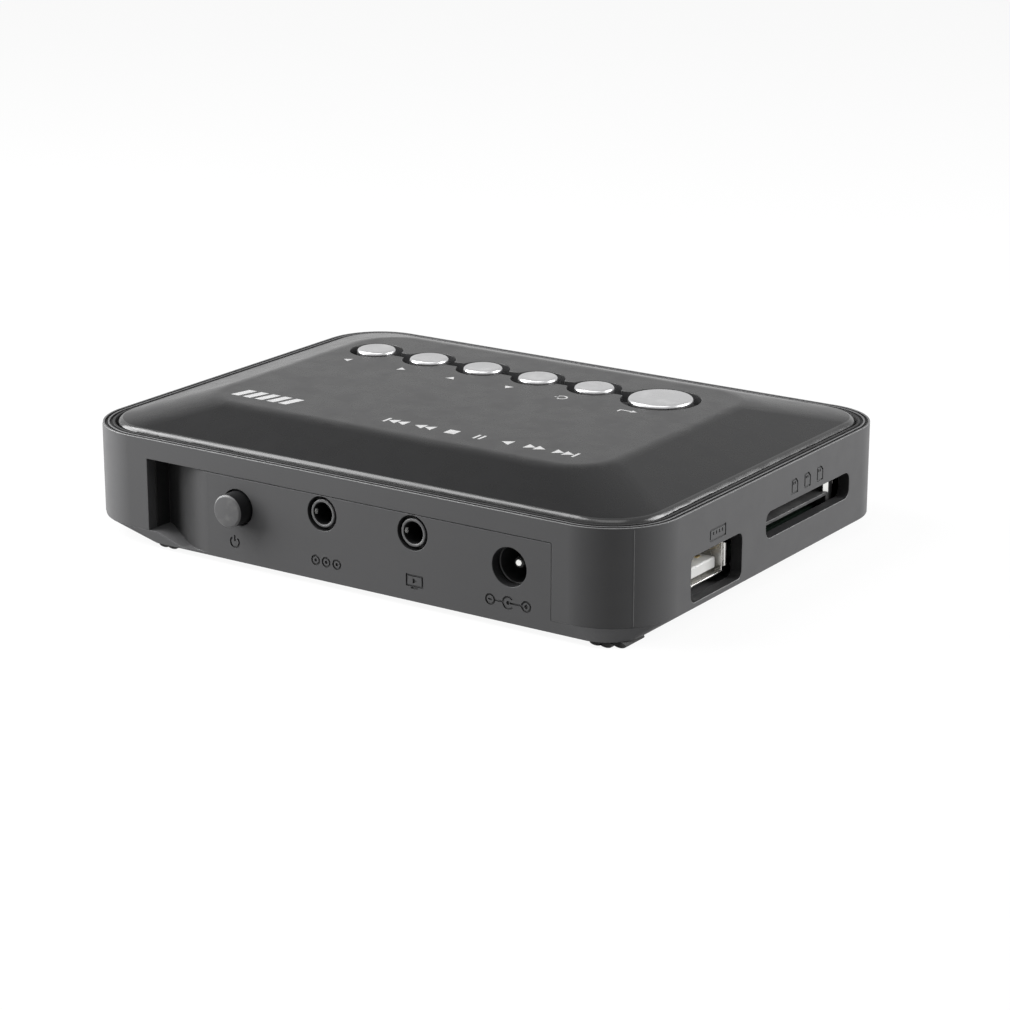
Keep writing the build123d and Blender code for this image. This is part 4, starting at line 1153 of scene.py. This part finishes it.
@dataclass
class TrayWithPanel:
    """Tray with the rear panel, its sunk port marks and the four ribbed feet.

    Attributes:
        rear_y: Plane of the rear panel, in millimetres.
        mark_z: Height of the row of marks.
        mark_depth: Depth of the marks.
        edge: Width of the softened edges.
        marks: Drawing and X of each mark.
        scoop_x: X from which a face belongs to the finger scoop.
        hole_y: Y from which a face can belong to a hole in the panel.
        panel_z: Height from which a face belongs to the panel.
        foot_radius: Radius of a foot.
        foot_height: Height of a foot.
        foot_chamfer: Size of the chamfer round its lower edge.
        foot_steps: Number of segments round a foot.
        rib_height: Height of the ribs under a foot.
        rib_width: Width of a rib.
        rib_pitch: Distance between ribs.
        rib_count: Number of ribs.
    """

    rear_y: float = 39.4
    mark_z: float = 4.2
    mark_depth: float = 0.2
    edge: float = 0.06
    marks: tuple[tuple[str, Flat, float], ...] = field(default_factory=lambda: (
        ("power_mark", Marks.power(), 20.9), ("plugs_mark", Marks.three_plugs(), 2.4),
        ("screen_mark", Marks.screen(), -14.8), ("polarity_mark", Marks.polarity(), -32.3)))
    scoop_x: float = 26.0
    hole_y: float = 37.2
    panel_z: float = 3.2
    foot_radius: float = 3.8
    foot_height: float = 0.95
    foot_chamfer: float = 0.12
    foot_steps: int = 64
    rib_height: float = 0.45
    rib_width: float = 2.2
    rib_pitch: float = 1.8
    rib_count: int = 4

    def build(self) -> None:
        """Builds the tray and its feet."""
        cutters = [drawing.solid(name, Facing.REAR.place((x, self.rear_y, self.mark_z)),
                                 -self.mark_depth, self.mark_depth) for name, drawing, x in self.marks]
        moulding("bottom_tray", "tray_with_panel", TRAY, TRAY_EDGE_SHADE, self.edge, cutters, extra=(SCOOP_SHADE, HOLE_SHADE),
                 choose=self.finish_of)
        ribs = rib_row_model()
        for node in ("foot_rear_left", "foot_rear_right", "foot_front_left", "foot_front_right"):
            self.foot(node, ribs)

    def finish_of(self, patch: Patch) -> int:
        """Number of a face's finish: painted shade in the finger scoop and on the walls of the holes.

        Args:
            patch: Face of the tray.

        Returns:
            2 for the scoop and 3 for the wall of a hole, both painted shade, else the number that the face
            has.
        """
        x, y, z = patch.centre
        # Faces of the finger scoop and of the walls of the holes get painted shade.
        if z > self.panel_z and x > self.scoop_x:
            return 2
        if z > self.panel_z and y > self.hole_y and abs(patch.normal.y) < UPRIGHT:
            return 3
        return patch.finish

    def foot(self, node: str, ribs: NodeModel) -> None:
        """Builds one foot: a turned pad with half-round ribs under it.

        Args:
            node: CAD node that the foot stands for.
            ribs: Tree that makes the row of ribs.
        """
        low, high = box_mm(node)
        x, y, _ = (low + high) / 2
        start, radius, chamfer = self.rib_height, self.foot_radius, self.foot_chamfer
        profile = [(0, start), (radius - chamfer, start), (radius, start + chamfer),
                   (radius, self.foot_height), (0, self.foot_height)]
        row = ribs.mesh(node + "_ribs", RUBBER, [(x, y, start)], Count=self.rib_count,
                        Pitch=self.rib_pitch * MM, Width=self.rib_width * MM, Height=start * MM,
                        Radius=radius * MM)
        sheet = bmesh.new()
        sheet.from_mesh(lathe(node, profile, Facing.DECK.place((x, y, 0)), self.foot_steps))
        sheet.from_mesh(row)
        settle(node.replace("foot", "foot_pad"), to_mesh(sheet, node), RUBBER, CHASSIS, node)


@dataclass
class KeyRow:
    """Six silver keys over their switches.

    Attributes:
        names: Names of the keys.
        blend: Radius of the upper edge.
        flange: Width of the flange under the cover.
        flange_thickness: Thickness of the flange.
        dish: Depth of the shallow dish in the top.
        dish_turn: Share of the radius and of the depth at the dish's middle ring.
    """

    names: tuple[str, ...] = ("right", "left", "down", "up", "return", "enter")
    blend: float = 0.55
    flange: float = 1.0
    flange_thickness: float = 0.9
    dish: float = 0.06
    dish_turn: Point2 = (0.55, 0.7)

    def build(self) -> None:
        """Builds the key caps and dresses the switches."""
        for name in self.names:
            low, high = box_mm("key_" + name)
            middle = (low + high) / 2
            outer = (high.x - low.x) / 2
            radius = outer - self.flange
            step = low.z + self.flange_thickness
            ring, share = self.dish_turn
            profile = [(0, low.z), (outer, low.z), (outer, step), (radius, step),
                       *rounded(radius, high.z, self.blend),
                       (radius * ring, high.z - self.dish * share), (0, high.z - self.dish)]
            cap = lathe("key_cap_" + name, profile, Facing.DECK.place((middle.x, middle.y, 0)))
            settle("key_cap_" + name, cap, SILVER, f"key_{name}_body", "key_" + name)
            dress(PLUNGER, "switch_plunger_" + name)
            dress(SOCKET, "key_switch_" + name)


@dataclass
class PowerButton:
    """Push button in the rear panel, with its switch.

    Attributes:
        blend: Radius of the front edge.
        flange: Width of the flange behind the panel.
        flange_thickness: Thickness of the flange.
        stem: Length of the stem.
        stem_radius: Radius of the stem.
    """

    blend: float = 0.4
    flange: float = 0.9
    flange_thickness: float = 1.0
    stem: float = 0.9
    stem_radius: float = 2.0

    def build(self) -> None:
        """Builds the cap and dresses the switch."""
        low, high = box_mm("power_button")
        middle = (low + high) / 2
        outer = (high.x - low.x) / 2
        radius = outer - self.flange
        back = low.y + self.stem
        front = back + self.flange_thickness
        profile = [(0, low.y), (self.stem_radius, low.y), (self.stem_radius, back), (outer, back),
                   (outer, front), (radius, front), *rounded(radius, high.y, self.blend), (0, high.y)]
        cap = lathe("power_button_cap", profile, Facing.REAR.place((middle.x, 0, middle.z)))
        piece = put("power_button_cap", cap, BUTTON, BUTTON_SIDE_SHADE)
        # Painted shade: the side of the cap takes the near-black finish.
        for face in cap.polygons:
            face.material_index = int(abs(face.normal.y) < UPRIGHT)
        enlist(piece, BUTTON, "power_button_body", "power_button")
        dress(PLUNGER, "power_switch_plunger")
        dress(SOCKET, "power_switch_body")


@dataclass
class RearPorts:
    """Two round jacks and the power inlet behind the rear panel.

    Attributes:
        edge: Width of the softened edges of the jack bodies.
        bore: Radius of a jack's bore.
        bore_z: Height of its axis.
        bore_slack: How far outside that radius a face can still belong to the bore.
        bore_tilt: Largest share of a bore face's normal along the axis.
        spring_bend: Points of the contact spring: X from the bore's wall and depth in the barrel.
        spring_sheet: Thickness of the spring.
        spring_drop: How far its middle is below the top of the contacts.
        spring_height: Half height of the spring.
        pin_tip: Share of the pin's radius that its tip is rounded by.
        pin_steps: Number of segments round the pin.
    """

    edge: float = 0.14
    bore: float = 1.8
    bore_z: float = 12.1
    bore_slack: float = 0.05
    bore_tilt: float = 0.6
    spring_bend: tuple[Point2, ...] = ((0.05, 0.4), (-0.14, 0.75), (-0.112, 0.75), (0.05, 0.95))
    spring_sheet: float = 0.14
    spring_drop: float = 0.9
    spring_height: float = 0.42
    pin_tip: float = 0.95
    pin_steps: int = 48

    def build(self) -> None:
        """Builds the jacks and dresses the inlet."""
        for name in ("component_jack", "av_jack"):
            low, high = box_mm(name + "_body")
            x = (low.x + high.x) / 2
            moulding(name + "_body", name + "_barrel", BARREL, BARREL, self.edge, extra=(BORE_SHADE,),
                     choose=partial(self.finish_of, x))
            self.spring(name, x + self.bore, high.y)
            dress(BRIGHT, name + "_contacts")
        moulding("dc_jack_body", "power_inlet_block", SOCKET, SOCKET, self.edge)
        self.pin()

    def finish_of(self, x: float, patch: Patch) -> int:
        """Number of a face's finish: painted shade, black, in the bore.

        Args:
            x: X of the bore's axis, in millimetres.
            patch: Face of a jack.

        Returns:
            2 for the painted shade in the bore, else the number that the face has.
        """
        reach = math.hypot(patch.centre.x - x, patch.centre.z - self.bore_z)
        inside = reach < self.bore + self.bore_slack and abs(patch.normal.y) < self.bore_tilt
        return 2 if inside else patch.finish

    def pin(self) -> None:
        """Builds the turned pin of the inlet with its domed tip."""
        low, high = box_mm("dc_jack_pin")
        middle, radius = (low + high) / 2, (high.x - low.x) / 2
        profile = [(0, low.y), (radius, low.y), *rounded(radius, high.y, radius * self.pin_tip), (0, high.y)]
        turned = lathe("inlet_pin", profile, Facing.REAR.place((middle.x, 0, middle.z)), self.pin_steps)
        settle("inlet_pin", turned, BRIGHT, CHASSIS, "dc_jack_pin")

    def spring(self, name: str, wall: float, front: float) -> None:
        """Builds the bent tip of the contact spring in one jack.

        Args:
            name: Name of the jack.
            wall: X of the bore's wall.
            front: Y of the barrel's end.
        """
        z = box_mm(name + "_contacts")[1].z - self.spring_drop
        bend = [(wall + across, front - depth) for across, depth in self.spring_bend]
        bent_strip(name + "_spring", bend, self.spring_sheet, z - self.spring_height, z + self.spring_height)


@dataclass
class SideSockets:
    """Flat four-pole socket and memory card socket behind the left wall.

    Attributes:
        edge: Width of the softened sheet edges.
        tongue_edge: Width of the tongue's softened edges.
        usb_row: Number of leaves in the flat socket, their pitch and their bow.
        card_row: The same in the card socket.
        lip_length: Length of the flared lips round the mouth.
        lip_flare: How far a lip leans outwards.
        lip_sheet: Thickness of the lips.
        lip_gap: Distance of a lip's outer face from the side of the tongue.
        lip_taper: How much a lip's half height shrinks towards its end.
        lip_steps: Number of steps along a lip.
        side_lip: Half height of the side lips.
        leaf_bend: X and Y of the points of the switch leaf in the card slot.
        leaf_sheet: Thickness of the leaf.
        leaf_z: Lower and upper edge of the leaf.
    """

    edge: float = 0.1
    tongue_edge: float = 0.25
    usb_row: tuple[int, float, float] = (4, 2.4, 0.0)
    card_row: tuple[int, float, float] = (9, 2.5, 0.5)
    lip_length: float = 0.5
    lip_flare: float = 0.25
    lip_sheet: float = 0.3
    lip_gap: float = 0.4
    lip_taper: float = 0.25
    lip_steps: int = 5
    side_lip: float = 1.95
    leaf_bend: tuple[Point2, ...] = ((-51.475, -24.9), (-52.0, -25.6), (-51.85, -25.8), (-50.9, -25.85))
    leaf_sheet: float = 0.16
    leaf_z: Point2 = (8.6, 10.6)

    def build(self) -> None:
        """Builds both sockets with their contacts."""
        leaves = leaf_row_model()
        moulding("usb_shell", "flat_socket_shell", STEEL, STEEL, self.edge)
        moulding("usb_tongue", "flat_socket_tongue", TONGUE, TONGUE, self.tongue_edge)
        self.lips()
        self.contacts("usb_contacts", "flat_socket_contacts", leaves, *self.usb_row)
        moulding("card_socket_base", "card_socket_bed", BED, BED, self.edge)
        moulding("card_socket_cover", "card_socket_sheet", STEEL, STEEL, self.edge)
        self.contacts("card_contacts", "card_socket_contacts", leaves, *self.card_row)
        bent_strip("card_switch_leaf", self.leaf_bend, self.leaf_sheet, *self.leaf_z)

    def contacts(self, node: str, name: str, leaves: NodeModel, count: int, pitch: float,
                 bow: float) -> None:
        """Builds a row of contact leaves in the place of a node.

        Args:
            node: CAD node that the row stands for.
            name: Name of the piece.
            leaves: Tree that makes the row.
            count: Number of leaves.
            pitch: Distance between leaves.
            bow: Rise of a leaf's middle.
        """
        low, high = box_mm(node)
        size = high - low
        mesh = leaves.mesh(name, BRASS, [(low + high) / 2], Count=count, Pitch=pitch * MM,
                           Length=size.x * MM, Width=(size.y - pitch * (count - 1)) * MM,
                           Thickness=size.z * MM, Bow=bow * MM)
        settle(name, mesh, BRASS, CHASSIS, node)

    def lips(self) -> None:
        """Builds the two flared side lips at the mouth of the flat socket."""
        low, high = box_mm("usb_tongue")
        shell_low, shell_high = box_mm("usb_shell")
        centre = Vector((shell_low.x, (low.y + high.y) / 2, (shell_low.z + shell_high.z) / 2))
        sheet = bmesh.new()
        for side in (-1, 1):
            self.lip(sheet, centre, side, (high.y - low.y) / 2 + self.lip_gap)
        settle("flat_socket_lips", closed_mesh(sheet, "flat_socket_lips"), STEEL)

    def lip(self, sheet: bmesh.types.BMesh, centre: Vector, side: int, start: float) -> None:
        """Adds one flared lip to an edit mesh.

        Args:
            sheet: Edit mesh to add to.
            centre: Centre of the mouth, on the shell's front edge.
            side: -1 or 1, the side of the mouth.
            start: Distance of the shell's outer face from the centre.
        """
        rows = []
        for i in range(self.lip_steps + 1):
            share = i / self.lip_steps
            x = -self.lip_length * math.sin(share * math.pi / 2)
            out = start + self.lip_flare * (1 - math.cos(share * math.pi / 2))
            half = self.side_lip - self.lip_taper * share ** 3
            inner = out - self.lip_sheet
            section = ((out, -half), (out, half), (inner, half), (inner, -half))
            rows.append([centre + Vector((x, side * across, along)) for across, along in section])
        loft(sheet, rows)


@dataclass
class FrontWindow:
    """Tinted window in the front wall with the receiver and the lamp behind it.

    Attributes:
        edge: Width of the window's softened edges.
    """

    edge: float = 0.15

    def build(self) -> None:
        """Builds the window and dresses what is behind it."""
        moulding("ir_window", "tinted_window", WINDOW, WINDOW, self.edge)
        dress(RECEIVER, "ir_receiver")
        dress(LAMP, "status_led")


@dataclass
class Boards:
    """Main board and key board with their parts.

    Attributes:
        dressing: Finish of each group of nodes.
    """

    dressing: tuple[tuple[Finish, tuple[str, ...]], ...] = (
        (LAMINATE, ("main_board", "key_board")),
        (EPOXY, ("processor", "memory_chip", "flash_chip", "voltage_regulator", "power_inductor")),
        (SINK, ("heat_sink", "capacitor_inlet", "capacitor_core")),
        (STEEL, ("crystal",)), (SOCKET, ("header_body",)), (BRASS, ("header_pins",)))

    def build(self) -> None:
        """Dresses the boards and their parts."""
        for finish, nodes in self.dressing:
            dress(finish, *nodes)


@dataclass(frozen=True)
class ScrewKind:
    """One size of pan-head screw.

    Attributes:
        node: CAD node of all the screws of this size.
        head_radius: Radius of the head.
        head_height: Height of the head.
        shank_radius: Radius of the shank.
        points: X and Y of the screws.
        head_up: Whether the heads are on the upper side.
    """

    node: str
    head_radius: float
    head_height: float
    shank_radius: float
    points: tuple[Point2, ...]
    head_up: bool


@dataclass
class Fasteners:
    """All the screws, made as sets.

    Attributes:
        kinds: Sizes of screws with their places.
        slot_width: Width of the crossed slots.
    """

    kinds: tuple[ScrewKind, ...] = (
        ScrewKind("case_screws", 2.5, 1.6, 1.25,
                  ((-44.5, 27.9), (44.5, 24.4), (-19.0, -32.7), (39.0, -32.7)), False),
        ScrewKind("board_screws", 1.9, 1.3, 0.9,
                  ((-46.0, 4.5), (46.0, -11.4), (0.0, -34.2), (-5.725, 21.9)), True),
        ScrewKind("key_board_screws", 1.9, 1.3, 0.9,
                  ((-18.998, -22.2), (-18.998, -7.2), (35.5, -22.2), (35.5, -7.2)), False))
    slot_width: float = 0.6

    def build(self) -> None:
        """Builds each set of screws."""
        model = screw_set_model()
        for kind in self.kinds:
            low, high = box_mm(kind.node)
            seat = high.z - kind.head_height if kind.head_up else low.z + kind.head_height
            length = (high.z - low.z) - kind.head_height
            mesh = model.mesh(kind.node, SCREW, [(x, y, seat) for x, y in kind.points], **{
                "Head Radius": kind.head_radius * MM, "Head Height": kind.head_height * MM,
                "Shank Radius": kind.shank_radius * MM, "Shank Length": length * MM,
                "Slot Width": self.slot_width * MM, "Turn": 0.0 if kind.head_up else math.pi})
            settle(kind.node + "_set", mesh, SCREW, CHASSIS, kind.node)


def point(holder: Thing, at: Sequence[float], look: Vector) -> None:
    """Places a lamp or a camera and turns it along a direction."""
    holder.location = at
    holder.rotation_euler = look.to_track_quat("-Z", "Y").to_euler()


@dataclass(frozen=True)
class Softbox:
    """Soft rectangular studio lamp.

    Attributes:
        name: Name of the lamp.
        at: Place in metres.
        aim: Point that it shines at.
        size: Width and height in metres.
        watts: Power.
    """

    name: str
    at: tuple[float, float, float]
    aim: tuple[float, float, float]
    size: Point2
    watts: float

    def build(self) -> None:
        """Builds the lamp."""
        lamp = bpy.data.lights.new(self.name, "AREA")
        lamp.shape, lamp.energy = "RECTANGLE", self.watts
        lamp.size, lamp.size_y = self.size
        point(show(self.name, lamp), self.at, Vector(self.aim) - Vector(self.at))


@dataclass
class Studio:
    """White studio: floor, backdrop, soft lamps and the camera.

    Attributes:
        eye: Place of the camera in metres.
        yaw: Direction of view from +X, in degrees.
        pitch: How far the view looks down, in degrees.
        lens: Focal length.
        sensor: Width of the sensor, in millimetres as the focal length.
        floor_size: Side of the floor in metres.
        floor_white: Share of plain white in the floor as the camera sees it; the rest shows shadow.
        paper: Albedo of the floor for the light that it throws back, and as the camera sees it.
        ambient: Strength of the backdrop's light on the object.
        lamps: Soft lamps.
    """

    eye: tuple[float, float, float] = (-0.26899, 0.38970, 0.15194)
    yaw: float = -55.890
    pitch: float = 17.361
    lens: float = 105.156
    sensor: float = 36.0
    floor_size: float = 8.0
    floor_white: float = 0.92
    paper: Point2 = (0.16, 0.9)
    ambient: float = 0.04
    lamps: tuple[Softbox, ...] = (
        Softbox("left_softbox", (0.32, 0.15, 0.14), (0.0, 0.04, 0.01), (0.26, 0.26), 2.0),
        Softbox("right_softbox", (-0.35, -0.25, 0.20), (-0.05, 0.0, 0.01), (0.25, 0.25), 2.2),
        Softbox("key_softbox", (0.40, 0.22, 0.60), (0.0, 0.0, 0.02), (0.42, 0.42), 4.4),
        Softbox("top_softbox", (-0.12, 0.18, 0.66), (0.0, 0.0, 0.02), (0.45, 0.45), 1.4))

    def build(self) -> None:
        """Builds the studio."""
        bpy.context.scene.view_settings.view_transform = "Standard"
        self.backdrop()
        self.floor()
        for lamp in self.lamps:
            lamp.build()
        self.camera()

    @staticmethod
    def seen(sheet: NodeSheet) -> Socket:
        """Tells what is seen from what is lit.

        Args:
            sheet: Tree to add to.

        Returns:
            1 for rays from the camera and in reflections, 0 for light on surfaces.
        """
        path = sheet.add("ShaderNodeLightPath").outputs
        seen = path["Is Camera Ray"]
        for ray in ("Is Glossy Ray", "Is Transmission Ray"):
            seen = sheet.out("ShaderNodeMath", {0: seen, 1: path[ray]}, operation="MAXIMUM")
        return seen

    def backdrop(self) -> None:
        """Builds the white backdrop."""
        world = bpy.data.worlds.new("white_backdrop")
        sheet = NodeSheet.blank(world)
        strength = sheet.out("ShaderNodeMapRange", {0: self.seen(sheet), 3: self.ambient, 4: 1.0})
        light = sheet.out("ShaderNodeBackground", {"Color": (1, 1, 1, 1), "Strength": strength})
        sheet.add("ShaderNodeOutputWorld", {"Surface": light})
        bpy.context.scene.world = world

    def floor(self) -> None:
        """Builds the pale floor, which keeps a light shadow."""
        half = self.floor_size / 2
        mesh = bpy.data.meshes.new("floor")
        corners = [(-half, -half, 0), (half, -half, 0), (half, half, 0), (-half, half, 0)]
        mesh.from_pydata(corners, [], [(0, 1, 2, 3)])
        made = bpy.data.materials.new("floor_paper")
        sheet = NodeSheet.blank(made)
        seen = self.seen(sheet)
        share = sheet.out("ShaderNodeMath", {0: seen, 1: self.floor_white}, operation="MULTIPLY")
        tone = sheet.out("ShaderNodeMapRange", {0: seen, 3: self.paper[0], 4: self.paper[1]})
        paper = sheet.out("ShaderNodeBsdfDiffuse", {"Color": tone})
        white = sheet.out("ShaderNodeEmission", {"Color": (1, 1, 1, 1), "Strength": 1.0})
        mixed = sheet.out("ShaderNodeMixShader", {0: share, 1: paper, 2: white})
        sheet.add("ShaderNodeOutputMaterial", {"Surface": mixed})
        mesh.materials.append(made)
        show("floor", mesh)

    def camera(self) -> None:
        """Builds the camera at the photograph's viewing angle."""
        yaw, pitch = math.radians(self.yaw), math.radians(self.pitch)
        look = Vector((math.cos(pitch) * math.cos(yaw), math.cos(pitch) * math.sin(yaw), -math.sin(pitch)))
        data = bpy.data.cameras.new("photo_camera")
        data.sensor_width, data.lens = self.sensor, self.lens
        camera = show("photo_camera", data)
        point(camera, self.eye, look)
        bpy.context.scene.camera = camera


def main() -> None:
    """Builds the studio and every sub-assembly in order."""
    logging.basicConfig(level=logging.INFO, format="%(name)s %(message)s")
    for part in (Studio(), CaseFrame(), KeyCover(), TrayWithPanel(), KeyRow(), PowerButton(), RearPorts(),
                 SideSockets(), FrontWindow(), Boards(), Fasteners()):
        LOG.info("building %s", type(part).__name__)
        part.build()


if __name__ == "__main__":
    main()
